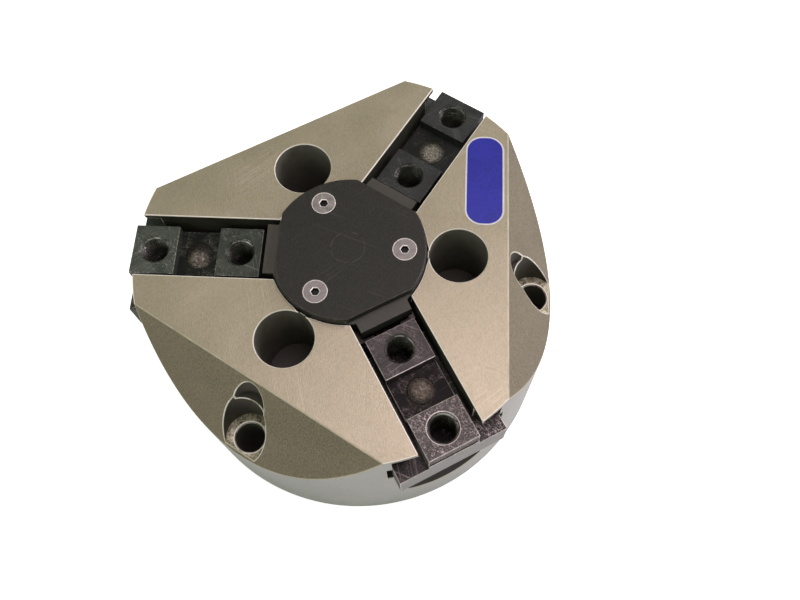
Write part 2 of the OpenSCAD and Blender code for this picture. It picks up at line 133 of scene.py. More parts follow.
@dataclass
class Graph:
    """One material, with short calls for the nodes it needs.

    Attributes:
        name: Name of the material.
        material: The material.
        shader: Its surface shader.
        place: The object's own coordinates.
    """

    name: str
    material: bpy.types.Material = field(init=False)
    shader: bpy.types.Node = field(init=False)
    place: Socket = field(init=False)

    def __post_init__(self) -> None:
        """Makes the bare material."""
        self.material = bpy.data.materials.new(self.name)
        self.material.use_nodes = True
        self.material.node_tree.nodes.clear()
        self.shader = self.add("ShaderNodeBsdfPrincipled")
        output = self.add("ShaderNodeOutputMaterial")
        self.link(self.shader.outputs["BSDF"], output.inputs["Surface"])
        self.place = self.add("ShaderNodeTexCoord").outputs["Object"]

    def add(self, kind: str, **settings: object) -> bpy.types.Node:
        """Adds a node.

        Args:
            kind: Blender's name of its type.
            **settings: Properties to set on it.

        Returns:
            The node.
        """
        node = self.material.node_tree.nodes.new(kind)
        for key, value in settings.items():
            setattr(node, key, value)
        return node

    def link(self, source: Socket, target: Socket) -> None:
        """Links two sockets."""
        self.material.node_tree.links.new(source, target)

    def feed(self, target: Socket, value: object) -> None:
        """Links a socket to an input, or sets a plain value on it.

        Args:
            target: The input.
            value: Socket or plain value.
        """
        if isinstance(value, bpy.types.NodeSocket):
            self.link(value, target)
        else:
            target.default_value = value

    def calc(self, maths: Maths, first: Value, second: Value = 0.0, clamp: bool = False) -> Socket:
        """Adds a math node.

        Args:
            maths: What it works out.
            first: Socket or number.
            second: Socket or number.
            clamp: Whether the result stays between 0 and 1.

        Returns:
            The result.
        """
        node = self.add("ShaderNodeMath", operation=maths.value, use_clamp=clamp)
        self.feed(node.inputs[0], first)
        self.feed(node.inputs[1], second)
        return node.outputs[0]

    def plus(self, first: Value, second: Value) -> Socket:
        """Adds two values."""
        return self.calc(Maths.ADD, first, second)

    def minus(self, first: Value, second: Value) -> Socket:
        """Takes the second value from the first."""
        return self.calc(Maths.SUBTRACT, first, second)

    def times(self, first: Value, second: Value) -> Socket:
        """Multiplies two values."""
        return self.calc(Maths.MULTIPLY, first, second)

    def stretched(self, scale: Sequence[float], turn: float = 0.0, centre: Point = (0.0, 0.0, 0.0)) -> Socket:
        """Gives object coordinates moved to a centre, turned about Z and then scaled.

        Args:
            scale: Factors along the three axes.
            turn: Turn in degrees.
            centre: The centre in metres.

        Returns:
            The coordinates.
        """
        shift = self.add("ShaderNodeVectorMath", operation="SUBTRACT")
        self.link(self.place, shift.inputs[0])
        shift.inputs[1].default_value = centre
        spin = self.add("ShaderNodeVectorRotate", rotation_type="Z_AXIS")
        self.link(shift.outputs[0], spin.inputs["Vector"])
        spin.inputs["Angle"].default_value = math.radians(turn)
        grow = self.add("ShaderNodeVectorMath", operation="MULTIPLY")
        self.link(spin.outputs[0], grow.inputs[0])
        grow.inputs[1].default_value = scale
        return grow.outputs[0]

    def noise(self, vector: Socket, scale: float, detail: float = 3.0, rough: float = 0.5,
              warp: float = 0.0) -> Socket:
        """Adds a noise texture.

        Args:
            vector: Coordinates.
            scale: Features per unit of the coordinates.
            detail: Number of finer layers.
            rough: Strength of the finer layers.
            warp: Distortion.

        Returns:
            The noise, 0 to 1.
        """
        node = self.add("ShaderNodeTexNoise")
        self.link(vector, node.inputs["Vector"])
        node.inputs["Scale"].default_value = scale
        node.inputs["Detail"].default_value = detail
        node.inputs["Roughness"].default_value = rough
        node.inputs["Distortion"].default_value = warp
        return node.outputs["Fac"]

    def window(self, value: Socket, low: float, high: float, top: float = 1.0) -> Socket:
        """Maps a value smoothly to 0 to top.

        Args:
            value: The value.
            low: Where the result is 0. It may be the greater one of the two.
            high: Where the result is top.
            top: Highest result.

        Returns:
            The result, clamped.
        """
        node = self.add("ShaderNodeMapRange", interpolation_type="SMOOTHSTEP", clamp=True)
        self.link(value, node.inputs["Value"])
        node.inputs["From Min"].default_value = low
        node.inputs["From Max"].default_value = high
        node.inputs["To Max"].default_value = top
        return node.outputs["Result"]

    def blend(self, amount: Socket, first: Colour, second: Colour) -> Socket:
        """Mixes two colours.

        Args:
            amount: Share of the second colour.
            first: Colour or socket.
            second: Colour or socket.

        Returns:
            The mixed colour.
        """
        node = self.add("ShaderNodeMix", data_type="RGBA")
        self.feed(node.inputs["Factor"], amount)
        for socket, value in ((node.inputs[6], first), (node.inputs[7], second)):
            self.feed(socket, (*value, 1.0) if isinstance(value, tuple) else value)
        return node.outputs[2]

    def radius(self, centre: Point) -> Socket:
        """Gives the distance from an axis along Z.

        Args:
            centre: A point on the axis, in metres.

        Returns:
            The distance in metres.
        """
        node = self.add("ShaderNodeVectorMath", operation="LENGTH")
        self.link(self.stretched((1.0, 1.0, 0.0), centre=centre), node.inputs[0])
        return node.outputs["Value"]

    def rings(self, centre: Point, pitch: float) -> Socket:
        """Gives uneven turning marks.

        Args:
            centre: Point on their axis, in metres.
            pitch: Their pitch in metres.

        Returns:
            The marks, 0 to 1.
        """
        grooves = self.add("ShaderNodeCombineXYZ")
        self.link(self.radius(centre), grooves.inputs["X"])
        return self.noise(grooves.outputs[0], 1.0 / pitch, 2.0, 0.7)

    def scratches(self, turns: Sequence[float], count: float = 1500.0, width: float = 0.03) -> Socket:
        """Gives thin straight scratches in patches.

        Args:
            turns: Their directions in degrees.
            count: How close they lie, per metre.
            width: Their width as a share of the noise's height.

        Returns:
            The scratches, 0 to 1.
        """
        total = None
        for index, turn in enumerate(turns):
            lines = self.stretched((14.0, count, count), turn, (0.013 * index, 0.007, 0.0))
            value = self.noise(lines, 1.0, 1.0, 0.4, 0.15)
            thin = self.calc(Maths.ABSOLUTE, self.minus(value, 0.5))
            line = self.window(self.minus(width, thin), 0.0, width)
            patch = self.window(self.noise(self.place, 55.0 + 9.0 * index, 2.0), 0.52, 0.66)
            line = self.times(line, patch)
            total = line if total is None else self.calc(Maths.MAXIMUM, total, line)
        return total

    def dents(self, share: float, count: float = 240.0, size: float = 0.11) -> Socket:
        """Gives small sparse dents.

        Args:
            share: Share of the cells with a dent.
            count: Cells per metre.
            size: Radius of a dent as a share of its cell.

        Returns:
            The dents, 0 to 1.
        """
        node = self.add("ShaderNodeTexVoronoi", feature="F1")
        self.link(self.stretched((1.0, 1.7, 1.0), 25.0), node.inputs["Vector"])
        node.inputs["Scale"].default_value = count
        near = self.window(self.minus(size, node.outputs["Distance"]), 0.0, size)
        return self.times(near, self.calc(Maths.LESS_THAN, node.outputs["Color"], share))

    def bump(self, height: Socket, strength: float, distance: float) -> None:
        """Gives the shader a normal from a height.

        Args:
            height: The height, about 0 to 1.
            strength: Strength of the relief.
            distance: Depth in metres for a height of 1.
        """
        node = self.add("ShaderNodeBump")
        self.link(height, node.inputs["Height"])
        node.inputs["Strength"].default_value = strength
        node.inputs["Distance"].default_value = distance
        self.link(node.outputs["Normal"], self.shader.inputs["Normal"])


@dataclass
class Skin:
    """A surface in the making.

    Attributes:
        graph: The material's graph.
        colour: The colour so far.
        height: The height so far.
    """

    graph: Graph
    colour: Socket
    height: Socket

    def tint(self, amount: Socket, colour: RGB) -> None:
        """Lays a colour over the surface."""
        self.colour = self.graph.blend(amount, self.colour, colour)

    def lift(self, amount: Socket, factor: float = 1.0) -> None:
        """Adds a share of a value to the height."""
        self.height = self.graph.plus(self.height, self.graph.times(amount, factor))


@dataclass(frozen=True)
class Metal:
    """A metal finish with mottling, grain, scratches, dents, turning marks and some painted light and shade.

    Attributes:
        name: Name of the material.
        low: Darker mottle colour.
        high: Lighter mottle colour.
        wear_and_highlight: Colour of scratches, rubbed patches and specks, and of painted highlights and
            glints.
        metallic: Share of metal.
        rough: Lowest and highest roughness.
        mottle: Mottles per metre.
        grain: Grains per metre.
        grain_depth: Depth of the grain in metres.
        scratch: Strength of the scratches, 0 for none.
        scratch_turns: Directions of the scratches in degrees.
        nick: Share of cells with a dent, 0 for none.
        rub: Strength of the rubbed patches, 0 for none.
        ring_pitch: Pitch of the turning marks in metres, 0 for none.
        ring_centre: Axis of the turning marks.
        ring_tone: Strength of the turning marks' colour.
        circle: Radius, half width and strength in metres of a scribed circle; at mouths a painted highlight
            arc.
        speck: Share of small bright specks, 0 for none.
        speck_size: Size of the specks, 1 for fine ones.
        speck_at: Point in metres round which the specks gather, or nothing.
        speck_reach: Distances in metres at which the specks end and are at their fullest.
        painted_shade_radius: Radius in metres round the specks' point beyond which painted shade darkens it,
            0 for none.
        shine: Strength of the plain reflection on top of the metal one.
        lay: Strength of the fine ground lines along Y, 0 for none.
    """

    name: str
    low: RGB
    high: RGB
    wear_and_highlight: RGB
    metallic: float = 1.0
    rough: tuple[float, float] = (0.35, 0.5)
    mottle: float = 90.0
    grain: float = 3200.0
    grain_depth: float = 0.00002
    scratch: float = 0.0
    scratch_turns: tuple[float, ...] = (20.0, 75.0, 140.0)
    nick: float = 0.0
    rub: float = 0.0
    ring_pitch: float = 0.0
    ring_centre: Point = (0.0, 0.0, 0.0)
    ring_tone: float = 0.35
    circle: tuple[float, float, float] | None = None
    speck: float = 0.0
    speck_size: float = 1.0
    speck_at: Point | None = None
    speck_reach: tuple[float, float] = (0.017, 0.0045)
    painted_shade_radius: float = 0.0
    shine: float = 0.5
    lay: float = 0.0

    def build(self) -> bpy.types.Material:
        """Makes the material.

        Returns:
            The material.
        """
        graph = Graph(self.name)
        mottle = graph.noise(graph.place, self.mottle, 4.0, 0.6, 0.4)
        grain = graph.noise(graph.place, self.grain, 2.0, 0.6)
        tone = graph.window(graph.plus(graph.times(mottle, 0.65), graph.times(grain, 0.35)), 0.32, 0.68)
        skin = Skin(graph, graph.blend(tone, self.low, self.high), grain)
        marks = (
            (self.lay, self._ground_lines), (self.ring_pitch, self._turning_marks),
            (self.circle, self._scribed_circle_and_highlight_arc), (self.rub, self._rubbed_patches),
            (self.scratch, self._scratched_lines), (self.speck, self._bright_specks),
            (self.painted_shade_radius, self._painted_shade_border), (self.nick, self._dented_spots),
        )
        for wanted, mark in marks:
            if wanted:
                mark(skin)
        inputs = graph.shader.inputs
        graph.link(skin.colour, inputs["Base Color"])
        low, high = self.rough
        graph.link(graph.plus(graph.times(tone, high - low), low), inputs["Roughness"])
        graph.bump(skin.height, 0.6, self.grain_depth)
        inputs["Metallic"].default_value = self.metallic
        inputs["Specular IOR Level"].default_value = self.shine
        return graph.material

    def _near(self, graph: Graph) -> Socket:
        """Gives how close a place is to the specks' point, 0 to 1."""
        return graph.window(graph.radius(self.speck_at), *self.speck_reach)

    def _ground_lines(self, skin: Skin) -> None:
        """Adds the fine lines of a ground face.

        Args:
            skin: The surface in the making.
        """
        graph = skin.graph
        lines = graph.noise(graph.stretched((5000.0, 1500.0, 1500.0)), 1.0, 2.0, 0.6)
        lines = graph.window(lines, 0.3, 0.7)
        skin.tint(graph.times(lines, self.lay), self.wear_and_highlight)
        skin.lift(lines)

    def _turning_marks(self, skin: Skin) -> None:
        """Adds turning marks round an axis.

        Args:
            skin: The surface in the making.
        """
        rings = skin.graph.rings(self.ring_centre, self.ring_pitch)
        skin.lift(rings, 1.6)
        skin.tint(skin.graph.window(rings, 0.5, 0.75, self.ring_tone), self.wear_and_highlight)

    def _scribed_circle_and_highlight_arc(self, skin: Skin) -> None:
        """Adds a thin broken circle; gathered round the specks' point it is a painted highlight arc.

        Args:
            skin: The surface in the making.
        """
        graph = skin.graph
        radius, half, strength = self.circle
        off = graph.calc(Maths.ABSOLUTE, graph.minus(graph.radius(self.ring_centre), radius))
        line = graph.window(graph.minus(half, off), 0.0, half, strength)
        patchy = graph.window(graph.noise(graph.place, 420.0, 2.0, 0.6), 0.4, 0.6)
        if self.speck_at:
            patchy = graph.times(patchy, self._near(graph))
        skin.tint(graph.times(line, patchy), self.wear_and_highlight)

    def _rubbed_patches(self, skin: Skin) -> None:
        """Adds rubbed patches.

        Args:
            skin: The surface in the making.
        """
        patches = skin.graph.noise(skin.graph.place, 260.0, 5.0, 0.65, 0.8)
        skin.tint(skin.graph.window(patches, 0.5, 0.68, self.rub), self.wear_and_highlight)

    def _scratched_lines(self, skin: Skin) -> None:
        """Adds scratches.

        Args:
            skin: The surface in the making.
        """
        lines = skin.graph.scratches(self.scratch_turns)
        skin.tint(skin.graph.times(lines, self.scratch), self.wear_and_highlight)
        skin.lift(lines, -1.2)

    def _bright_specks(self, skin: Skin) -> None:
        """Adds small bright specks; on the pins' domes and the threads they are painted glints.

        Args:
            skin: The surface in the making.
        """
        graph = skin.graph
        spread = [count / self.speck_size for count in (1300.0, 2300.0, 2300.0)]
        flecks = graph.noise(graph.stretched(spread, 35.0), 1.0, 6.0, 0.85, 0.8)
        dots = graph.window(flecks, 0.51, 0.62, self.speck)
        drift = graph.window(graph.noise(graph.place, 230.0, 2.0), 0.42, 0.6)
        if self.speck_at:
            near = graph.plus(self._near(graph), 0.15)
            drift = graph.calc(Maths.MULTIPLY, near, graph.plus(drift, 0.35), True)
        dots = graph.times(dots, drift)
        skin.tint(dots, self.wear_and_highlight)
        skin.lift(dots, 1.5)

    def _painted_shade_border(self, skin: Skin) -> None:
        """Darkens the surface away from a point, as painted shade.

        Args:
            skin: The surface in the making.
        """
        away = skin.graph.radius(self.speck_at or self.ring_centre)
        skin.tint(skin.graph.window(away, 0.35 * self.painted_shade_radius, self.painted_shade_radius, 0.95), self.low)

    def _dented_spots(self, skin: Skin) -> None:
        """Adds small dents.

        Args:
            skin: The surface in the making.
        """
        dents = skin.graph.dents(self.nick)
        skin.tint(skin.graph.times(dents, 0.75), tuple(0.35 * channel for channel in self.low))
        skin.lift(dents, -4.0)


@dataclass(frozen=True)
class Soft:
    """A rubber, plastic or enamel finish.

    Attributes:
        name: Name of the material.
        low: Darker colour.
        high: Lighter colour.
        rough: Roughness.
        grain: Grains per metre.
        depth: Depth of the grain in metres.
    """

    name: str
    low: RGB
    high: RGB
    rough: float = 0.6
    grain: float = 1500.0
    depth: float = 0.00002

    def build(self) -> bpy.types.Material:
        """Makes the material.

        Returns:
            The material.
        """
        graph = Graph(self.name)
        fine = graph.noise(graph.place, self.grain, 3.0)
        wide = graph.noise(graph.place, 120.0, 3.0)
        tone = graph.window(graph.times(graph.plus(fine, wide), 0.5), 0.35, 0.65)
        graph.link(graph.blend(tone, self.low, self.high), graph.shader.inputs["Base Color"])
        graph.shader.inputs["Roughness"].default_value = self.rough
        graph.bump(fine, 0.5, self.depth)
        return graph.material


Finish = Union[Metal, Soft]


@dataclass
class Library:
    """Every finish of the object, each made once.

    Attributes:
        made: Materials made so far, by name.
    """

    TOP = Metal("ground_top", srgb(158, 151, 127), srgb(176, 167, 144), srgb(222, 212, 190), 0.6,
                (0.36, 0.46), 26.0, scratch=0.2, nick=0.08, lay=0.24)
    FACET = Metal("milled_facet", srgb(102, 94, 71), srgb(118, 109, 86), srgb(180, 170, 146), 0.6,
                  (0.42, 0.52), 40.0, scratch=0.25, nick=0.04, lay=0.38)
    WALL = Metal("turned_wall", srgb(160, 161, 159), srgb(180, 180, 177), srgb(220, 220, 216), 0.4,
                 (0.34, 0.46), 30.0, scratch=0.2, lay=0.3)
    UNDERSIDE = Metal("turned_base", srgb(160, 156, 144), srgb(182, 178, 166), srgb(210, 206, 196), 0.8,
                      (0.3, 0.42), 60.0, ring_pitch=0.0006)
    # Insides of the bores and slots, dark with painted shade.
    BORE_PAINTED_SHADE = Metal("bored_inside_painted_shade", srgb(54, 52, 45), srgb(72, 69, 59), srgb(104, 96, 78), 0.35,
                 (0.5, 0.64), 140.0, grain_depth=0.00004)
    DEEP_BORE = Metal("drilled_inside", srgb(80, 79, 70), srgb(98, 96, 85), srgb(140, 136, 120), 0.1,
                      (0.5, 0.64), 140.0, grain_depth=0.00004)
    # Sloping channel floors under the jaws, near black with painted shade.
    SLOPE_PAINTED_SHADE = Metal("channel_slope_painted_shade", srgb(30, 29, 23), srgb(42, 40, 33), srgb(96, 90, 74), 0.3,
                  (0.5, 0.64), 140.0, grain_depth=0.00004)
    LEDGE = Metal("counterbore_ledge", srgb(74, 70, 50), srgb(196, 190, 158), srgb(255, 252, 226), 0.5,
                  (0.3, 0.5), 900.0, grain=1800.0, grain_depth=0.00012, rub=0.7, speck=1.0)
    # Near-white broken edges: a painted highlight along the bevels, partly bare metal rubbed through.
    EDGE_HIGHLIGHT = Metal("broken_edge_highlight", srgb(244, 238, 222), srgb(254, 251, 240), srgb(255, 253, 246), 0.1,
                 (0.32, 0.42), 600.0)
    # Broken edges round the facets, which catch less light: a duller copy of that painted highlight.
    RIDGE = Metal("soft_ridge", srgb(176, 170, 146), srgb(200, 193, 168), srgb(226, 220, 198), 0.4,
                  (0.34, 0.46), 300.0, speck=0.5)
    COVER = Metal("black_cover", srgb(21, 23, 17), srgb(28, 30, 23), srgb(96, 92, 84), 0.2,
                  (0.5, 0.62), 200.0, scratch=0.16, circle=(0.0046, 0.00022, 0.45), lay=0.13)
    COVER_EDGE = Metal("cover_edge", srgb(46, 46, 42), srgb(66, 64, 58), srgb(140, 136, 122), 0.4,
                       (0.4, 0.5), 500.0, rub=0.3)
    JAW = Metal("jaw_black", srgb(44, 45, 42), srgb(60, 60, 56), srgb(126, 122, 114), 0.45,
                (0.4, 0.56), 160.0, grain_depth=0.00004, scratch=0.25, nick=0.1, speck=0.35)
    JAW_FRONT = Metal("jaw_ground_front", srgb(118, 118, 116), srgb(142, 142, 140), srgb(186, 186, 182), 0.75,
                      (0.3, 0.44), 200.0, scratch=0.5, scratch_turns=(0.0, 60.0, 120.0))
    JAW_EDGE = Metal("jaw_edge", srgb(58, 58, 55), srgb(88, 86, 82), srgb(236, 230, 220), 0.5,
                     (0.32, 0.46), 700.0, speck=0.9)
    # Threads whose bright specks are painted glints on the crests.
    THREAD_AND_GLINTS = Metal("cut_thread", srgb(46, 45, 42), srgb(82, 79, 74), srgb(206, 200, 192), 0.7,
                   (0.28, 0.42), 300.0, speck=0.8)
    SCREW = Metal("screw_zinc", srgb(132, 126, 124), srgb(154, 148, 146), srgb(214, 208, 204), 0.6,
                  (0.34, 0.46), 500.0, scratch=0.4)
    # Bright rims of the screw heads: a painted highlight.
    SCREW_RIM_HIGHLIGHT = Metal("screw_rim_highlight", srgb(228, 222, 216), srgb(248, 244, 240), srgb(250, 246, 242), 0.3,
                      (0.28, 0.38), 700.0)
    BLACK_STEEL = Metal("black_oxide", srgb(26, 26, 25), srgb(40, 40, 39), srgb(88, 84, 80), 0.5,
                        (0.4, 0.55), 300.0)
    STEEL = Metal("ground_steel", srgb(70, 66, 62), srgb(96, 90, 86), srgb(160, 150, 144), 0.8,
                  (0.32, 0.46), 200.0, scratch=0.5, scratch_turns=(0.0, 90.0))
    TURNED = Metal("turned_aluminium", srgb(160, 160, 158), srgb(184, 184, 182), srgb(214, 214, 212), 0.9,
                   (0.28, 0.42), 60.0, ring_pitch=0.0007)
    WIRE = Metal("spring_wire", srgb(110, 110, 112), srgb(160, 160, 162), srgb(200, 200, 200), 1.0,
                 (0.25, 0.35), 900.0)
    BRONZE = Metal("bush_bronze", srgb(150, 112, 62), srgb(184, 142, 84), srgb(220, 184, 124), 0.95,
                   (0.3, 0.42), 400.0)
    RUBBER = Soft("seal_rubber", srgb(20, 20, 21), srgb(34, 34, 35), 0.55)
    GUIDE = Soft("guide_ring_plastic", srgb(96, 62, 34), srgb(124, 84, 48), 0.5)
    LABEL_BLUE = Soft("label_blue", srgb(26, 30, 146), srgb(36, 40, 168), 0.4, 900.0, 0.000006)
    LABEL_WHITE = Soft("label_white", srgb(206, 206, 208), srgb(226, 226, 226), 0.4, 900.0, 0.000006)

    made: dict[str, bpy.types.Material] = field(default_factory=dict)

    def get(self, finish: Finish) -> bpy.types.Material:
        """Gives the material of a finish, made at its first use.

        Args:
            finish: The finish.

        Returns:
            The material.
        """
        if finish.name not in self.made:
            self.made[finish.name] = finish.build()
        return self.made[finish.name]

    def paint(self, finish: Finish, *nodes: str) -> list[bpy.types.Object]:
        """Puts a finish on carried-over CAD nodes, with no change of shape.

        Args:
            finish: The finish.
            *nodes: Names of the nodes.

        Returns:
            The nodes' objects.
        """
        painted = [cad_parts[name] for name in nodes]
        for node in painted:
            node.data.materials.clear()
            node.data.materials.append(self.get(finish))
        return painted


# ---- Meshes ----

FacePick = Callable[[np.ndarray, np.ndarray], np.ndarray]
SpotPick = Callable[[np.ndarray], bool]


@dataclass(frozen=True)
class Zone:
    """Faces of a piece that get a finish of their own.

    Attributes:
        finish: The finish.
        holds: Takes face centres in millimetres and face normals, and says which faces count.
    """

    finish: Finish
    holds: FacePick


def place(name: str, mesh: bpy.types.Mesh, body: Body, slot: Slot) -> bpy.types.Object:
    """Puts a new piece in the scene.

    Args:
        name: Name of the piece.
        mesh: Its mesh.
        body: Body that it rides on.
        slot: Its material slot. Not used.

    Returns:
        The piece.
    """
    piece = bpy.data.objects.new(name, mesh)
    bpy.context.scene.collection.objects.link(piece)
    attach(piece, body.value)
    return piece


def sides(levels: int, around: int, start: int = 0) -> np.ndarray:
    """Gives the four-sided faces between closed rings of points.

    Args:
        levels: Number of rings.
        around: Points in a ring.
        start: Index of the first point.

    Returns:
        The faces. They look outwards where the rings turn left and climb.
    """
    index = start + np.arange(levels * around).reshape(levels, around)
    ahead = np.roll(index, -1, 1)
    return np.stack([index[:-1], ahead[:-1], ahead[1:], index[1:]], -1).reshape(-1, 4)


def make_mesh(name: str, points: np.ndarray, faces: list[list[int]], smooth: bool) -> bpy.types.Mesh:
    """Makes a mesh in metres.

    Args:
        name: Its name.
        points: Its points in millimetres.
        faces: Indices of each face's points.
        smooth: Whether its faces are shaded as one.

    Returns:
        The mesh.
    """
    mesh = bpy.data.meshes.new(name)
    mesh.from_pydata((points * MM).tolist(), [], faces)
    mesh.polygons.foreach_set("use_smooth", np.full(len(faces), smooth))
    return mesh


def distances(points: np.ndarray, axis: np.ndarray) -> np.ndarray:
    """Gives the distances of points from an upright axis."""
    return np.hypot(points[..., 0] - axis[0], points[..., 1] - axis[1])


def flat(height: float, gap: float = 0.05) -> FacePick:
    """Picks the level faces at a height in millimetres that look up."""
    return lambda c, n: (n[:, 2] > UP) & (np.abs(c[:, 2] - height) < gap)


def rises(normals: np.ndarray, share: float, gap: float) -> np.ndarray:
    """Picks the normals whose upright share is within a gap of a value."""
    return np.abs(normals[:, 2] - share) < gap


def faces_outward(normals: np.ndarray, least: float) -> np.ndarray:
    """Picks the normals that lean towards the middle of a facet, by their least share."""
    lean = [normals @ direction(azimuth) for azimuth in FACET_AZIMUTHS]
    return np.max(lean, axis=0) > least


def near_axes(centres: np.ndarray, radius: float, reach: float) -> np.ndarray:
    """Picks points close to the three upright axes under the facets.

    Args:
        centres: Points in millimetres.
        radius: Distance of the axes from the middle in millimetres.
        reach: Largest distance from an axis in millimetres.

    Returns:
        Which points count.
    """
    pick = np.zeros(len(centres), bool)
    for azimuth in FACET_AZIMUTHS:
        pick |= distances(centres, direction(azimuth) * radius) < reach
    return pick


@dataclass
class Dressed:
    """A copy of a CAD node with broken edges, which stands for the node.

    Attributes:
        library: The finishes.
        name: Name of the node.
        body: Body that it rides on.
        slot: Its material slot.
        least: Smallest angle in degrees at which an edge is broken.
        sharp: Smallest angle in degrees between faces that aren't shaded as one.
        large: Area in square metres from which a face is shaded flat.
        weld: Distance in metres up to which points are joined.
        level: Largest angle in degrees between triangles that make one flat face.
        mesh: The copy.
    """

    library: Library
    name: str
    body: Body
    slot: Slot
    least: float = 24.0
    sharp: float = 17.0
    large: float = 2.5e-4
    weld: float = 2e-6
    level: float = 0.4
    mesh: bpy.types.Mesh = field(init=False)

    def __post_init__(self) -> None:
        """Copies the node's mesh."""
        self.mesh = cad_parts[self.name].data.copy()
        self.mesh.name = self.name + "_dressed"

    def reshape(self, change: Callable[[np.ndarray], np.ndarray]) -> None:
        """Moves the vertices of the copy.

        Args:
            change: Takes the points in millimetres and gives the new ones.
        """
        points = np.empty(3 * len(self.mesh.vertices), np.float64)
        self.mesh.vertices.foreach_get("co", points)
        points = change(points.reshape(-1, 3) / MM) * MM
        self.mesh.vertices.foreach_set("co", points.ravel())

    def finish(self, base: Finish, edge: Finish, width: float, zones: Iterable[Zone] = (),
               crisp: SpotPick | None = None, ridge: FacePick | None = None) -> bpy.types.Object:
        """Breaks the edges, gives the finishes and takes the node's place.

        Args:
            base: Finish of the faces outside every zone.
            edge: Finish of the broken edges.
            width: Width of the broken edges in millimetres.
            zones: Faces with a finish of their own.
            crisp: Takes the middle of an edge in millimetres and says whether it stays unbroken.
            ridge: Picks the broken edges that get the duller finish.

        Returns:
            The new piece.
        """
        self._clean()
        zones = list(zones)
        for finish in [base, edge, *(zone.finish for zone in zones)]:
            self.mesh.materials.append(self.library.get(finish))
        self._assign(zones)
        self._break_edges(width * MM, crisp)
        if ridge:
            self.mesh.materials.append(self.library.get(Library.RIDGE))
            self._dull(ridge)
        piece = place(self.name + "_piece", self.mesh, self.body, self.slot)
        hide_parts(self.name)
        return piece

    def _clean(self) -> None:
        """Welds the mesh and joins its flat triangles into faces."""
        self.mesh.materials.clear()
        work = bmesh.new()
        work.from_mesh(self.mesh)
        bmesh.ops.remove_doubles(work, verts=work.verts, dist=self.weld)
        level = math.radians(self.level)
        bmesh.ops.dissolve_limit(work, angle_limit=level, verts=work.verts, edges=work.edges)
        for face in work.faces:
            face.material_index = 0
        work.to_mesh(self.mesh)
        work.free()

    def _faces(self) -> tuple[np.ndarray, np.ndarray, np.ndarray]:
        """Reads the faces.

        Returns:
            Their centres in millimetres, their normals and their material indices.
        """
        count = len(self.mesh.polygons)
        centres = np.empty(3 * count, np.float32)
        normals = np.empty(3 * count, np.float32)
        index = np.empty(count, np.int32)
        self.mesh.polygons.foreach_get("center", centres)
        self.mesh.polygons.foreach_get("normal", normals)
        self.mesh.polygons.foreach_get("material_index", index)
        return centres.reshape(-1, 3) / MM, normals.reshape(-1, 3), index

    def _assign(self, zones: Sequence[Zone]) -> None:
        """Gives the faces of each zone their material.

        Args:
            zones: The zones, of which a later one wins.
        """
        centres, normals, index = self._faces()
        for number, zone in enumerate(zones):
            index[zone.holds(centres, normals)] = number + 2
        self.mesh.polygons.foreach_set("material_index", index)

    def _dull(self, ridge: FacePick) -> None:
        """Gives some of the broken edges the duller finish, which is the last material.

        Args:
            ridge: Picks them.
        """
        centres, normals, index = self._faces()
        index[(index == 1) & ridge(centres, normals)] = len(self.mesh.materials) - 1
        self.mesh.polygons.foreach_set("material_index", index)

    def _break_edges(self, width: float, crisp: SpotPick | None) -> None:
        """Bevels the convex edges and shades the rest smooth.

        Args:
            width: Width of the broken edges in metres.
            crisp: Says which edges stay unbroken.
        """
        work = bmesh.new()
        work.from_mesh(self.mesh)
        least = math.radians(self.least)
        sharp = [e for e in work.edges if len(e.link_faces) == 2 and e.calc_face_angle_signed() > least]
        if crisp:
            sharp = [e for e in sharp if not crisp(np.array((e.verts[0].co + e.verts[1].co) / 2.0) / MM)]
        bmesh.ops.bevel(work, geom=sharp, offset=width, offset_type="OFFSET", segments=2, profile=0.6,
                        affect="EDGES", clamp_overlap=False, material=1)
        work.normal_update()
        smooth = [abs(face.normal.z) < 0.999 and (face.material_index == 1 or self._curved(face))
                  and face.calc_area() < self.large for face in work.faces]
        work.to_mesh(self.mesh)
        work.free()
        self.mesh.set_sharp_from_angle(angle=math.radians(self.sharp))
        self.mesh.polygons.foreach_set("use_smooth", smooth)

    def _curved(self, face: bmesh.types.BMFace) -> bool:
        """Says whether a face is a strip of a curved surface.

        Args:
            face: The face.

        Returns:
            Whether a neighbour leans from it a little, broken edges aside.
        """
        for edge in face.edges:
            if len(edge.link_faces) == 2 and all(f.material_index != 1 for f in edge.link_faces):
                if 0.5 < math.degrees(edge.calc_face_angle()) < self.sharp:
                    return True
        return False


# ---- Pieces ----


class Assembly(Protocol):
    """What every sub-assembly can do."""

    def build(self) -> list[bpy.types.Object]:
        """Builds the sub-assembly and gives its pieces."""


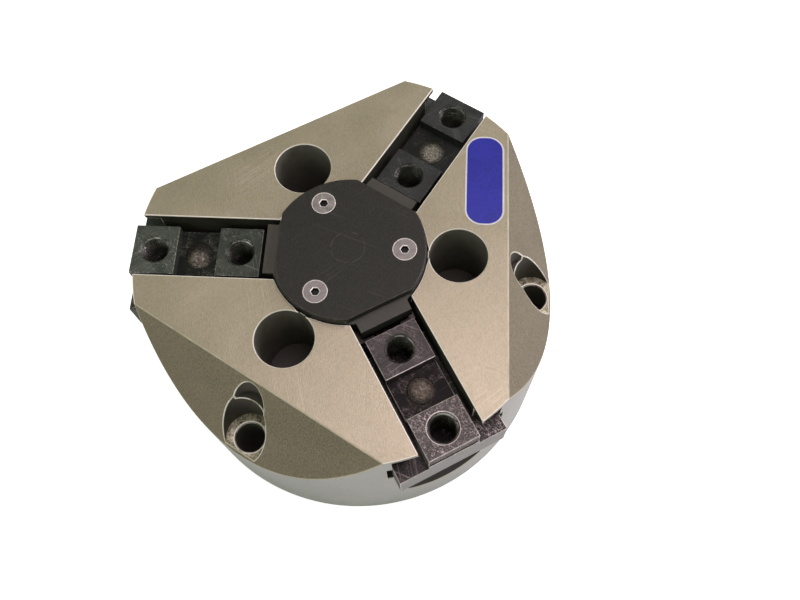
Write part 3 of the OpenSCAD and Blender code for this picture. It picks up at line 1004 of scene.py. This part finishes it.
@dataclass
class HousingDress:
    """The faceted body: ground top, milled facets, turned wall and bored insides dark with painted shade.

    Lengths are in millimetres.

    Attributes:
        library: The finishes.
        facet_angle: Angle between the facets' normals and the axis in degrees.
        bore_reach: Distance of the deep bores from the middle.
        bore: Radius of the deep bores.
        chamfer: Width of the CAD chamfer at their mouths.
        rim: Width of the thin rim that stays of it, bright with a painted highlight.
        fixing_edge: Distance of the fixing holes from the wall.
        fixing: Radius of the fixing holes.
        seat: Height of their screw seats.
        broken: Width of the broken edges.
        top: Height of the top.
        radius: Radius of the wall.
    """

    library: Library
    facet_angle: float = 61.5
    bore_reach: float = 30.0
    bore: float = 8.0
    chamfer: float = 0.6
    rim: float = 0.25
    fixing_edge: float = 5.7
    fixing: float = 4.2
    seat: float = 33.8
    broken: float = 0.27
    top: float = field(init=False)
    radius: float = field(init=False)

    def __post_init__(self) -> None:
        """Takes the outer sizes from the node."""
        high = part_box("housing")[1]
        self.top = high.z / MM
        self.radius = high.y / MM

    def build(self) -> list[bpy.types.Object]:
        """Builds the dressed housing.

        Returns:
            The housing alone.
        """
        housing = Dressed(self.library, "housing", Body.HOUSING, Slot.BODY)
        housing.reshape(self._slim_mouths)
        # Faces outside every zone are dark with painted shade; the broken edges carry a painted highlight.
        return [housing.finish(Library.BORE_PAINTED_SHADE, Library.EDGE_HIGHLIGHT, self.broken, self._zones(),
                               crisp=self._bore_rim, ridge=self._ridges)]

    def _zones(self) -> list[Zone]:
        """Gives the faces that aren't plain bored ones.

        Returns:
            The zones.
        """
        slope = math.cos(math.radians(self.facet_angle))
        fixing_reach = self.radius - self.fixing_edge
        return [
            Zone(Library.WALL, lambda c, n: rises(n, 0.0, 0.1) & self._by_wall(c, 0.6)),
            Zone(Library.FACET, lambda c, n: rises(n, slope, 0.02) & faces_outward(n, 0.8)),
            Zone(Library.TOP, flat(self.top)),
            Zone(Library.LEDGE, flat(self.seat)),
            # Sloping channel floors under the jaws, near black with painted shade.
            Zone(Library.SLOPE_PAINTED_SHADE, lambda c, n: rises(n, slope, 0.02) & ~faces_outward(n, 0.8)),
            # Thin rims at the deep bores' mouths, bright with the painted highlight of the broken edges.
            Zone(Library.EDGE_HIGHLIGHT, lambda c, n: near_axes(c, self.bore_reach, self.bore + self.chamfer)
                 & rises(n, math.sqrt(0.5), 0.1)),
            Zone(Library.DEEP_BORE, lambda c, n: near_axes(c, self.bore_reach, self.bore + 0.2)
                 & rises(n, 0.0, 0.5)),
            Zone(Library.DEEP_BORE, lambda c, n: near_axes(c, fixing_reach, self.fixing)
                 & rises(n, 0.0, 0.3)),
            Zone(Library.UNDERSIDE, lambda c, n: (n[:, 2] < -UP) & (c[:, 2] < 0.1)),
        ]

    def _by_wall(self, centres: np.ndarray, gap: float) -> np.ndarray:
        """Picks the faces within a gap of the turned wall."""
        return np.hypot(centres[:, 0], centres[:, 1]) > self.radius - gap

    def _slim_mouths(self, points: np.ndarray) -> np.ndarray:
        """Draws the chamfers of the deep bores in to a thin rim.

        Args:
            points: Vertices in millimetres.

        Returns:
            The moved vertices.
        """
        gap = 0.05
        mouth = self.bore + self.chamfer
        for azimuth in FACET_AZIMUTHS:
            axis = direction(azimuth)[:2] * self.bore_reach
            away = points[:, :2] - axis
            reach = distances(points, axis)
            depth = self.top - points[:, 2]
            outer = (np.abs(reach - mouth) < gap) & (depth < gap)
            inner = (np.abs(reach - self.bore) < gap) & (np.abs(depth - self.chamfer) < gap)
            points[outer, :2] = axis + away[outer] * ((self.bore + self.rim) / mouth)
            points[inner, 2] = self.top - self.rim
        return points

    def _bore_rim(self, spot: np.ndarray) -> bool:
        """Says whether an edge belongs to a deep bore's mouth."""
        near = near_axes(spot[None, :], self.bore_reach, self.bore + 0.4)
        return bool(near[0]) and spot[2] > self.top - 1.0

    def _ridges(self, centres: np.ndarray, normals: np.ndarray) -> np.ndarray:
        """Picks the broken edges round the facets, which catch less light.

        Args:
            centres: Face centres in millimetres.
            normals: Face normals.

        Returns:
            Which faces count.
        """
        level = np.maximum(np.hypot(normals[:, 0], normals[:, 1]), 1e-6)[:, None]
        upward = (normals[:, 2] > 0.05) & (normals[:, 2] < 0.98)
        over = upward & faces_outward(normals / level, 0.97)
        rim = upward & (normals[:, 2] < 0.46) & self._by_wall(centres, 1.0)
        return over | rim


@dataclass(frozen=True)
class CoverDress:
    """The dark centre cover and its countersunk screws.

    Lengths are in millimetres.

    Attributes:
        library: The finishes.
        broken: Width of the cover's broken edges.
        step: Depth under the cover's top below which a level face is the lower step, paler with painted
            light.
        screw_rim_highlight: Width of the screws' rims, bright with a painted highlight.
        screw_reach: Distance of the screws from the middle.
        socket: Largest distance from a screw's axis inside its socket.
        socket_depth: Depth of the sockets.
    """

    library: Library
    broken: float = 0.12
    step: float = 0.5
    screw_rim_highlight: float = 0.24
    screw_reach: float = 15.4
    socket: float = 1.25
    socket_depth: float = 1.9

    def build(self) -> list[bpy.types.Object]:
        """Builds the dressed cover and its screws.

        Returns:
            The two pieces.
        """
        cover = Dressed(self.library, "cover_plate", Body.HOUSING, Slot.COVER)
        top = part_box("cover_plate")[1].z / MM
        # The lower step gets a paler copy of the cover's finish: painted light over the slot walls' shade.
        pale = replace(Library.COVER, name="cover_step_painted_light", low=srgb(60, 59, 53), high=srgb(72, 70, 63),
                       circle=None)
        lower = Zone(pale, lambda c, n: (n[:, 2] > UP) & (c[:, 2] < top - self.step))
        screws = Dressed(self.library, "cover_plate_screws", Body.HOUSING, Slot.SCREW)
        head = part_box("cover_plate_screws")[1].z / MM
        socket = Zone(Library.BLACK_STEEL, lambda c, n: (c[:, 2] < head - 0.05)
                      & (c[:, 2] > head - self.socket_depth) & near_axes(c, self.screw_reach, self.socket))
        return [cover.finish(Library.COVER, Library.COVER_EDGE, self.broken, [lower]),
                screws.finish(Library.SCREW, Library.SCREW_RIM_HIGHLIGHT, self.screw_rim_highlight, [socket])]


@dataclass(frozen=True)
class Thread:
    """The thread of a jaw's tapped hole, in millimetres.

    Attributes:
        core: Core radius.
        major: Major radius.
        mouth: Radius of the chamfer at the mouth.
        pitch: Pitch.
        around: Points round the hole.
        levels: Rings of points along the hole.
    """

    core: float = 3.4
    major: float = 4.0
    mouth: float = 4.25
    pitch: float = 1.25
    around: int = 56
    levels: int = 150

    def surface(self, x: float, y: float, bottom: float, top: float) -> bpy.types.Mesh:
        """Makes the threaded wall of one hole.

        Along each pitch the radius runs evenly from the major one to the core and back, with a short flat
        at both, and it starts a pitch further up after each turn. At the mouth the radius isn't less than
        the mouth's own less the depth below it, which gives the chamfer.

        Args:
            x: Axis of the hole.
            y: Axis of the hole.
            bottom: Bottom of the thread.
            top: Height of the mouth.

        Returns:
            The mesh, in metres.
        """
        turn = np.linspace(0.0, 2.0 * np.pi, self.around, endpoint=False)
        angle, z = np.meshgrid(turn, np.linspace(bottom, top, self.levels))
        phase = (z / self.pitch - angle / (2.0 * np.pi)) % 1.0
        wave = np.clip(1.35 * np.abs(2.0 * phase - 1.0) - 0.15, 0.0, 1.0)
        radius = self.core + (self.major - self.core) * wave
        radius = np.maximum(radius, self.mouth - (top - z))
        points = np.stack([x + radius * np.cos(angle), y + radius * np.sin(angle), z], -1).reshape(-1, 3)
        inwards = sides(self.levels, self.around)[:, [0, 3, 2, 1]]
        return make_mesh("thread", points, inwards.tolist(), smooth=True)


@dataclass(frozen=True)
class JawLook:
    """What sets one jaw apart from the others.

    Attributes:
        number: Number of the jaw.
        body: Body that its pieces ride on.
        azimuth: Its direction in degrees.
        low: Darker colour of the blackened faces.
        high: Lighter colour of the blackened faces.
        wear_and_highlight: Colour of the specks.
        speck: Share of specks round the outer hole.
        edge_low: Darker colour of the broken edges.
        edge: Lighter colour of the broken edges.
        edge_speck: Share of bright specks on the edges.
        edge_width: Width of the broken edges in millimetres.
        groove: Brightness of the cross groove beside the upper faces, a painted shade.
        wing: Brightness of the wing tops beside the upper faces, a painted shade under the lips.
        inner: Brightness of the inner upper face beside the outer one.
        mouth: Strength of the painted highlight arcs at the mouths of the tapped holes.
        pin: Darker and lighter colour of the pin's dome, and the brightest one for its painted glints.
        dome: Middle of the painted highlight on the pin's dome, from its axis in millimetres.
        rimmed: Whether the outer hole has a bright broken rim.
    """

    number: int
    body: Body
    azimuth: float
    low: RGB
    high: RGB
    wear_and_highlight: RGB
    speck: float
    edge_low: RGB
    edge: RGB
    edge_speck: float
    edge_width: float
    groove: float
    wing: float
    inner: float
    mouth: float
    pin: tuple[RGB, RGB, RGB]
    dome: tuple[float, float]
    rimmed: bool = False


# groove and wing set painted shade; mouth, dome and the brightest pin colour set painted highlights.
JAW_LOOKS = (
    JawLook(
        number=1, body=Body.JAW_1, azimuth=180.0,
        low=srgb(58, 64, 58), high=srgb(84, 92, 82), wear_and_highlight=srgb(190, 194, 180),
        speck=0.35, edge_low=srgb(58, 60, 56), edge=srgb(118, 123, 110), edge_speck=1.0, edge_width=0.2,
        groove=0.25, wing=0.42, inner=0.66, mouth=1.0,
        pin=(srgb(30, 28, 22), srgb(112, 102, 84), srgb(255, 252, 242)), dome=(0.0, -1.9),
    ),
    JawLook(
        number=2, body=Body.JAW_2, azimuth=60.0,
        low=srgb(41, 44, 42), high=srgb(56, 59, 57), wear_and_highlight=srgb(120, 122, 118),
        speck=0.12, edge_low=srgb(50, 52, 50), edge=srgb(66, 69, 68), edge_speck=0.3, edge_width=0.12,
        groove=0.7, wing=0.85, inner=0.95, mouth=0.3,
        pin=(srgb(42, 41, 34), srgb(156, 152, 132), srgb(255, 254, 242)), dome=(0.4, -1.2),
    ),
    JawLook(
        number=3, body=Body.JAW_3, azimuth=300.0,
        low=srgb(50, 47, 46), high=srgb(86, 80, 79), wear_and_highlight=srgb(232, 214, 210),
        speck=1.0, edge_low=srgb(150, 144, 140), edge=srgb(226, 220, 214), edge_speck=0.4, edge_width=0.21,
        groove=0.2, wing=0.32, inner=0.82, mouth=0.8,
        pin=(srgb(40, 34, 30), srgb(134, 114, 102), srgb(255, 242, 230)), dome=(0.3, 0.2), rimmed=True,
    ),
)


@dataclass
class JawDress:
    """One base jaw with its tapped holes and its domed pin.

    Lengths are in millimetres, and places are counted outwards from the middle.

    Attributes:
        library: The finishes.
        look: What sets the jaw apart.
        thread: Thread of its tapped holes.
        outer: Place of the outer hole.
        inner: Place of the inner hole.
        hole_depth: Depth of the threads.
        front: Place from which a face that looks out is the front.
        half_groove: Half width within which a low face is the cross groove.
        inner_end: Place up to which an upper face is the inner one.
        corner: Place and sideways distance of the wing's worn corner.
        step: Depth under the upper faces below which a level face is a low one.
        highlight_shift: How far along X and Y the painted highlight of a mouth lies from its axis.
        clear: Gap between a thread and the widened wall round it.
        top: Height of the upper faces.
        along: Direction of the jaw.
        side: Direction across the jaw.
    """

    library: Library
    look: JawLook
    thread: Thread = Thread()
    outer: float = 54.5
    inner: float = 30.5
    hole_depth: float = 15.0
    front: float = 60.9
    half_groove: float = 6.0
    inner_end: float = 42.0
    corner: tuple[float, float] = (59.0, 13.5)
    step: float = 0.5
    highlight_shift: float = 1.8
    clear: float = 0.03
    top: float = field(init=False)
    along: np.ndarray = field(init=False)
    side: np.ndarray = field(init=False)

    def __post_init__(self) -> None:
        """Takes the height from the node and the directions from the look."""
        self.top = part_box(f"base_jaw_{self.look.number}")[1].z / MM
        self.along = direction(self.look.azimuth)
        self.side = direction(self.look.azimuth + 90.0)

    @property
    def pin_place(self) -> float:
        """Gives the place of the pin, halfway between the holes."""
        return (self.outer + self.inner) / 2.0

    @property
    def skin(self) -> Metal:
        """Gives the blackened finish.

        Returns:
            The finish, with its specks round the outer hole.
        """
        look = self.look
        return replace(Library.JAW, name=f"jaw_black_{look.number}", low=look.low, high=look.high,
                       wear_and_highlight=look.wear_and_highlight, speck=look.speck, speck_at=self._spot(self.outer))

    def build(self) -> list[bpy.types.Object]:
        """Builds the dressed jaw, its threads and its pin.

        Returns:
            The four pieces.
        """
        look = self.look
        jaw = Dressed(self.library, f"base_jaw_{look.number}", look.body, Slot.JAW)
        jaw.reshape(self._open_holes)
        edge = replace(Library.JAW_EDGE, name=f"jaw_edge_{look.number}", low=look.edge_low, high=look.edge,
                       speck=look.edge_speck)
        piece = jaw.finish(self.skin, edge, look.edge_width, self._zones(), crisp=self._hole_rim)
        return [piece, self._cut("outer", self.outer), self._cut("inner", self.inner), *self._dome()]

    def _spot(self, reach: float, sideways: float = 0.0) -> Point:
        """Gives the point at a place and a sideways distance, in metres."""
        return tuple(float(v) * MM for v in self.along * reach + self.side * sideways)

    def _dimmed(self, part: str, share: float, **changes: object) -> Metal:
        """Gives the finish of one part of the jaw.

        Args:
            part: Name of the part.
            share: Its brightness beside the upper faces.
            **changes: What else differs.

        Returns:
            The finish.
        """
        low = tuple(share * v for v in self.look.low)
        high = tuple(share * v for v in self.look.high)
        return replace(self.skin, name=f"jaw_{part}_{self.look.number}", low=low, high=high, **changes)

    def _zones(self) -> list[Zone]:
        """Gives the faces that aren't plain blackened ones.

        Returns:
            The zones.
        """
        look = self.look
        # The cross groove and the wing tops get darker copies of the blackened finish: painted shade.
        groove = self._dimmed("groove", look.groove, speck_at=None, speck=0.3, scratch=0.1, shine=0.12)
        wing = self._dimmed("wing", look.wing, speck=1.0, speck_at=self._spot(*self.corner),
                            speck_reach=(0.008, 0.003))
        inner = self._dimmed("inner", look.inner, speck_at=None, speck=0.3)
        return [
            Zone(Library.JAW_FRONT, lambda c, n: (n @ self.along > UP) & (c @ self.along > self.front)),
            Zone(groove, lambda c, n: self._low_faces(c, n) & (np.abs(c @ self.side) < self.half_groove)),
            Zone(wing, lambda c, n: self._low_faces(c, n) & (np.abs(c @ self.side) >= self.half_groove)),
            Zone(inner, lambda c, n: (n[:, 2] > UP) & (c @ self.along < self.inner_end)
                 & (c[:, 2] > self.top - self.step)),
            Zone(Library.THREAD_AND_GLINTS, self._mouths),
        ]

    def _low_faces(self, centres: np.ndarray, normals: np.ndarray) -> np.ndarray:
        """Picks the level faces below the upper ones."""
        return (normals[:, 2] > UP) & (centres[:, 2] < self.top - self.step)

    def _mouths(self, centres: np.ndarray, normals: np.ndarray) -> np.ndarray:
        """Picks the faces inside the mouths of the tapped holes.

        Args:
            centres: Face centres in millimetres.
            normals: Face normals.

        Returns:
            Which faces count.
        """
        pick = np.zeros(len(centres), bool)
        for reach in (self.outer, self.inner):
            pick |= distances(centres, self.along * reach) < self.thread.mouth
        return pick & (normals[:, 2] < 0.95)

    def _hole_rim(self, spot: np.ndarray) -> bool:
        """Says whether an edge belongs to the pin's hole or to a tapped hole.

        Args:
            spot: Middle of the edge in millimetres.

        Returns:
            Whether it does, a rimmed outer hole aside.
        """
        for reach in (self.outer, self.pin_place, self.inner):
            if distances(spot, self.along * reach) < self.thread.mouth + 0.05:
                return not (self.look.rimmed and reach == self.outer)
        return False

    def _open_holes(self, points: np.ndarray) -> np.ndarray:
        """Widens the plain walls of the tapped holes, to make room for the thread.

        Args:
            points: Vertices in millimetres.

        Returns:
            The moved vertices.
        """
        thread = self.thread
        for reach in (self.outer, self.inner):
            axis = self.along[:2] * reach
            away = points[:, :2] - axis
            wall = np.abs(distances(points, axis) - thread.core) < self.clear
            points[wall, :2] = axis + away[wall] * (thread.major + self.clear) / thread.core
            upper = wall & (points[:, 2] > self.top - 2.0)
            points[upper, 2] = self.top - (thread.mouth - thread.major) + self.clear
        return points

    def _cut(self, name: str, reach: float) -> bpy.types.Object:
        """Builds the thread of one hole, with a painted highlight arc on one side of its chamfer.

        Args:
            name: Which hole.
            reach: Its place.

        Returns:
            The piece.
        """
        x, y, _ = self.along * reach
        highlight_at = ((x + self.highlight_shift) * MM, (y + self.highlight_shift) * MM, 0.0)
        number = self.look.number
        mesh = self.thread.surface(x, y, self.top - self.hole_depth, self.top)
        mesh.name = f"jaw_{number}_{name}_thread"
        # The arc is a painted highlight on one side of the chamfer.
        arc = replace(self.skin, name=f"jaw_mouth_highlight_{number}_{name}", wear_and_highlight=srgb(252, 250, 242), speck=0.0,
                      circle=(0.0039, 0.0004, self.look.mouth), ring_centre=(x * MM, y * MM, 0.0),
                      speck_at=highlight_at, speck_reach=(0.0056, 0.0026))
        mesh.materials.append(self.library.get(Library.THREAD_AND_GLINTS))
        mesh.materials.append(self.library.get(arc))
        centres = np.empty(3 * len(mesh.polygons), np.float32)
        mesh.polygons.foreach_get("center", centres)
        chamfer = centres.reshape(-1, 3)[:, 2] > (self.top - self.thread.mouth + self.thread.core) * MM
        mesh.polygons.foreach_set("material_index", chamfer.astype(np.int32))
        return place(mesh.name, mesh, self.look.body, Slot.JAW)

    def _dome(self) -> list[bpy.types.Object]:
        """Gives the pin its ground dome, with a painted highlight and painted shade round it.

        Returns:
            The pin's node alone.
        """
        look = self.look
        x, y, _ = self.along * self.pin_place
        highlight_at = ((x + look.dome[0]) * MM, (y + look.dome[1]) * MM, 0.0)
        # Specks gather at the highlight point as painted glints; painted shade darkens the dome beyond it.
        pin = Metal(f"pin_dome_{look.number}", *look.pin, 0.25, (0.2, 0.36), 900.0, grain_depth=0.0004,
                    ring_pitch=0.0006, ring_centre=(x * MM, y * MM, 0.0), ring_tone=0.15,
                    speck=1.0, speck_size=1.7, speck_at=highlight_at, speck_reach=(0.0042, 0.0016), painted_shade_radius=0.004)
        painted = self.library.paint(pin, f"jaw_pin_{look.number}")
        for face in painted[0].data.polygons:
            face.use_smooth = True
        return painted


@dataclass(frozen=True)
class LabelPlate:
    """The bare rounded plate on the top of one petal, blue with a thin white border.

    Lengths are in millimetres.

    Attributes:
        library: The finishes.
        length: Length.
        width: Width.
        corner: Radius of the corners.
        border: Width of the border.
        thick: Thickness.
        bevel: Width of the sloping rim.
        centre: Middle of the plate.
        turn: Direction of its length in degrees.
        steps: Steps in a quarter of a turn.
    """

    library: Library
    length: float = 28.9
    width: float = 11.0
    corner: float = 4.8
    border: float = 0.48
    thick: float = 0.12
    bevel: float = 0.08
    centre: tuple[float, float] = (36.84, 23.9)
    turn: float = 90.0
    steps: int = 14

    def outline(self, inset: float) -> np.ndarray:
        """Gives the rounded outline, as four quarter arcs in turn.

        Args:
            inset: How far it is drawn in.

        Returns:
            Its points, lengthwise along X.
        """
        corner = self.corner - inset
        middle_x = self.length / 2.0 - self.corner
        middle_y = self.width / 2.0 - self.corner
        points = []
        for quarter, (sign_x, sign_y) in enumerate(((1.0, 1.0), (-1.0, 1.0), (-1.0, -1.0), (1.0, -1.0))):
            for step in range(self.steps + 1):
                angle = math.radians(90.0 * (quarter + step / self.steps))
                points.append((sign_x * middle_x + corner * math.cos(angle),
                               sign_y * middle_y + corner * math.sin(angle)))
        return np.array(points)

    def build(self) -> list[bpy.types.Object]:
        """Builds the plate as rings of points that close in on a flat top.

        Returns:
            The plate alone.
        """
        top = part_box("housing")[1].z / MM
        turn = math.radians(self.turn)
        spin = np.array([[math.cos(turn), math.sin(turn)], [-math.sin(turn), math.cos(turn)]])
        rings = [(0.0, 0.0), (0.0, self.thick * 0.7), (self.bevel, self.thick), (self.border, self.thick)]
        levels = []
        for inset, lift in rings:
            outline = self.outline(inset) @ spin + np.array(self.centre)
            levels.append(np.column_stack([outline, np.full(len(outline), top + lift)]))
        count = len(levels[0])
        last = len(rings) - 1
        faces = sides(len(rings), count).tolist()
        faces.append(list(range(last * count, (last + 1) * count)))
        mesh = make_mesh("label_plate", np.vstack(levels), faces, smooth=False)
        mesh.materials.append(self.library.get(Library.LABEL_WHITE))
        mesh.materials.append(self.library.get(Library.LABEL_BLUE))
        mesh.polygons[len(faces) - 1].material_index = 1
        return [place("label_plate", mesh, Body.HOUSING, Slot.BODY)]


@dataclass(frozen=True)
class MechanismDress:
    """Finishes of the drive and of the cylinder, mostly hidden.

    Attributes:
        library: The finishes.
    """

    library: Library

    def build(self) -> list[bpy.types.Object]:
        """Paints the inner nodes and the cylinder's cover.

        Returns:
            The painted nodes.
        """
        paint = self.library.paint
        return [
            *paint(Library.TURNED, "piston", "cylinder_cover"),
            *paint(Library.RUBBER, "piston_seal", "rod_seal", "cylinder_cover_seal"),
            *paint(Library.GUIDE, "piston_guide_ring"),
            *paint(Library.BRONZE, "rod_bush"),
            *paint(Library.STEEL, "wedge_hook"),
            *paint(Library.BLACK_STEEL, "wedge_hook_screw"),
            *paint(Library.SCREW, "cylinder_cover_screws"),
        ]


@dataclass(frozen=True)
class Springs:
    """The closing springs, wound from round wire.

    Lengths are in millimetres.

    Attributes:
        library: The finishes.
        count: Number of springs.
        reach: Distance of their axes from the middle.
        first: Azimuth of the first one in degrees.
        coil: Radius of the wire's centre line.
        wire: Radius of the wire.
        turns: Number of turns.
        bottom: Height of the lower end.
        top: Height of the upper end.
        clear: Gap at each end.
        pressed: Share of the length that is left when the piston is down. Not used.
        steps: Rings of points in a turn.
        around: Points round the wire.
    """

    library: Library
    count: int = 6
    reach: float = 28.0
    first: float = 30.0
    coil: float = 3.5
    wire: float = 0.5
    turns: float = 5.0
    bottom: float = 3.0
    top: float = 20.0
    clear: float = 0.1
    pressed: float = 7.0 / 17.0
    steps: int = 30
    around: int = 10

    def one(self, middle: np.ndarray) -> np.ndarray:
        """Gives the skin of one spring as rings of points.

        The centre line climbs evenly while it turns about the axis. Each ring lies across it, between the
        direction away from the axis and the one square to that and to the line.

        Args:
            middle: Foot of the spring's axis.

        Returns:
            The points, by ring.
        """
        share = np.linspace(0.0, 1.0, int(self.steps * self.turns) + 1)
        angle = 2.0 * np.pi * self.turns * share
        rise = self.top - self.bottom - 2.0 * (self.wire + self.clear)
        climb = rise / (2.0 * np.pi * self.turns * self.coil)
        away = np.stack([np.cos(angle), np.sin(angle), np.zeros_like(angle)], -1)
        line = middle + self.coil * away
        line[:, 2] += self.bottom + self.wire + self.clear + rise * share
        ahead = np.stack([-np.sin(angle), np.cos(angle), np.full_like(angle, climb)], -1)
        across = np.cross(ahead, away)
        across /= np.linalg.norm(across, axis=1)[:, None]
        lap = np.linspace(0.0, 2.0 * np.pi, self.around, endpoint=False)[None, :, None]
        ring = np.cos(lap) * away[:, None, :] + np.sin(lap) * across[:, None, :]
        return line[:, None, :] + self.wire * ring

    def build(self) -> list[bpy.types.Object]:
        """Builds the springs.

        Returns:
            The springs as one piece.
        """
        points, faces, start = [], [], 0
        for number in range(self.count):
            rings = self.one(direction(self.first + 360.0 * number / self.count) * self.reach)
            levels, around, _ = rings.shape
            end = start + levels * around
            faces += sides(levels, around, start).tolist()
            faces.append(list(reversed(range(start, start + around))))
            faces.append(list(range(end - around, end)))
            points.append(rings.reshape(-1, 3))
            start = end
        mesh = make_mesh("spring_wire", np.vstack(points), faces, smooth=True)
        mesh.materials.append(self.library.get(Library.WIRE))
        piece = place("closing_springs_piece", mesh, Body.HOUSING, Slot.SPRING)
        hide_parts("closing_springs")
        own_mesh(piece)
        return [piece]


# ---- Studio ----


@dataclass(frozen=True)
class Softbox:
    """One area light.

    Attributes:
        name: Name of the light.
        place: Where it stands, in metres.
        size: Width and height in metres.
        power: Power in watts.
        colour: Colour.
    """

    name: str
    place: Point
    size: tuple[float, float]
    power: float
    colour: RGB

    def build(self, aim: Point) -> None:
        """Builds the light.

        Args:
            aim: Point that it shines at, in metres.
        """
        data = bpy.data.lights.new(self.name, "AREA")
        data.shape = "RECTANGLE"
        data.size, data.size_y = self.size
        data.energy = self.power
        data.color = self.colour
        lamp = bpy.data.objects.new(self.name, data)
        lamp.location = self.place
        lamp.rotation_euler = (Vector(aim) - Vector(self.place)).to_track_quat("-Z", "Y").to_euler()
        bpy.context.scene.collection.objects.link(lamp)


@dataclass(frozen=True)
class Studio:
    """Floor, lights, surroundings and camera, in metres.

    Attributes:
        boxes: The lights.
        aim: Point that the lights shine at.
        eye: Place of the camera.
        right: Direction of the picture's width.
        ahead: Direction of view.
        sensor: Width of the camera's sensor in millimetres.
        focal: Focal length as a share of that width.
        floor: Half width of the floor.
        floor_drop: How far the floor lies below the object.
        glow: Brightness that the floor adds where it is seen directly.
        sky: Brightness of the surroundings.
        sky_colour: Colour of the surroundings.
    """

    boxes: tuple[Softbox, ...] = (
        Softbox("overhead", (0.125, 0.04, 0.75), (0.42, 0.36), 2.15, (1.0, 0.80, 0.93)),
        Softbox("back_right", (0.6, 0.35, 0.45), (0.4, 0.4), 2.3, (1.0, 0.90, 1.0)),
        Softbox("front_fill", (-0.55, -0.58, 0.42), (0.6, 0.6), 1.35, (0.93, 0.96, 1.0)),
        Softbox("right_low", (0.8, 0.12, 0.2), (0.3, 0.3), 1.3, (0.92, 0.84, 1.0)),
    )
    aim: Point = (0.0, 0.0, 0.035)
    eye: Point = (0.022895, -0.097992, 0.260452)
    right: Point = (0.99858, 0.04924, -0.02013)
    ahead: Point = (-0.03771, 0.38848, -0.92068)
    sensor: float = 36.0
    focal: float = 1.0196625
    floor: float = 3.0
    floor_drop: float = 0.0002
    glow: float = 0.75
    sky: float = 0.3
    sky_colour: RGB = (0.87, 1.0, 0.72)

    def build(self) -> None:
        """Builds the whole studio."""
        self._lay_floor()
        for box in self.boxes:
            box.build(self.aim)
        self._fill_world()
        self._set_camera()
        bpy.context.scene.view_settings.view_transform = "Standard"

    def _lay_floor(self) -> None:
        """Lays a pale floor that glows a little where the camera sees it directly."""
        graph = Graph("pale_floor")
        inputs = graph.shader.inputs
        tone = graph.window(graph.noise(graph.place, 30.0, 3.0), 0.3, 0.7)
        graph.link(graph.blend(tone, srgb(248, 248, 248), srgb(253, 253, 253)), inputs["Base Color"])
        inputs["Roughness"].default_value = 0.9
        inputs["Emission Color"].default_value = (1.0, 1.0, 1.0, 1.0)
        seen = graph.add("ShaderNodeLightPath").outputs["Is Camera Ray"]
        graph.link(graph.times(seen, self.glow), inputs["Emission Strength"])
        mesh = bpy.data.meshes.new("studio_floor")
        corners = [(x * self.floor, y * self.floor, 0.0) for x, y in ((-1, -1), (1, -1), (1, 1), (-1, 1))]
        mesh.from_pydata(corners, [], [(0, 1, 2, 3)])
        mesh.materials.append(graph.material)
        floor = bpy.data.objects.new("studio_floor", mesh)
        floor.location.z = -self.floor_drop
        bpy.context.scene.collection.objects.link(floor)

    def _fill_world(self) -> None:
        """Lights the surroundings evenly."""
        world = bpy.data.worlds.new("studio_world")
        world.use_nodes = True
        back = world.node_tree.nodes["Background"]
        back.inputs["Color"].default_value = (*self.sky_colour, 1.0)
        back.inputs["Strength"].default_value = self.sky
        bpy.context.scene.world = world

    def _set_camera(self) -> None:
        """Sets the camera up."""
        data = bpy.data.cameras.new("camera")
        data.sensor_width = self.sensor
        data.lens = self.focal * self.sensor
        data.clip_start = 0.01
        data.clip_end = 20.0
        camera = bpy.data.objects.new("camera", data)
        right = Vector(self.right).normalized()
        back = -Vector(self.ahead).normalized()
        turn = Matrix((right, back.cross(right), back)).transposed().to_4x4()
        camera.matrix_world = Matrix.Translation(self.eye) @ turn
        bpy.context.scene.collection.objects.link(camera)
        bpy.context.scene.camera = camera


def main() -> None:
    """Builds the sub-assemblies and the studio."""
    logging.basicConfig(level=logging.INFO)
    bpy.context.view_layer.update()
    library = Library()
    assemblies: list[Assembly] = [
        HousingDress(library),
        CoverDress(library),
        *(JawDress(library, look) for look in JAW_LOOKS),
        MechanismDress(library),
        Springs(library),
        LabelPlate(library),
    ]
    for assembly in assemblies:
        for piece in assembly.build():
            LOG.info("%s built by %s", piece.name, type(assembly).__name__)
    Studio().build()


if __name__ == "__main__":
    main()
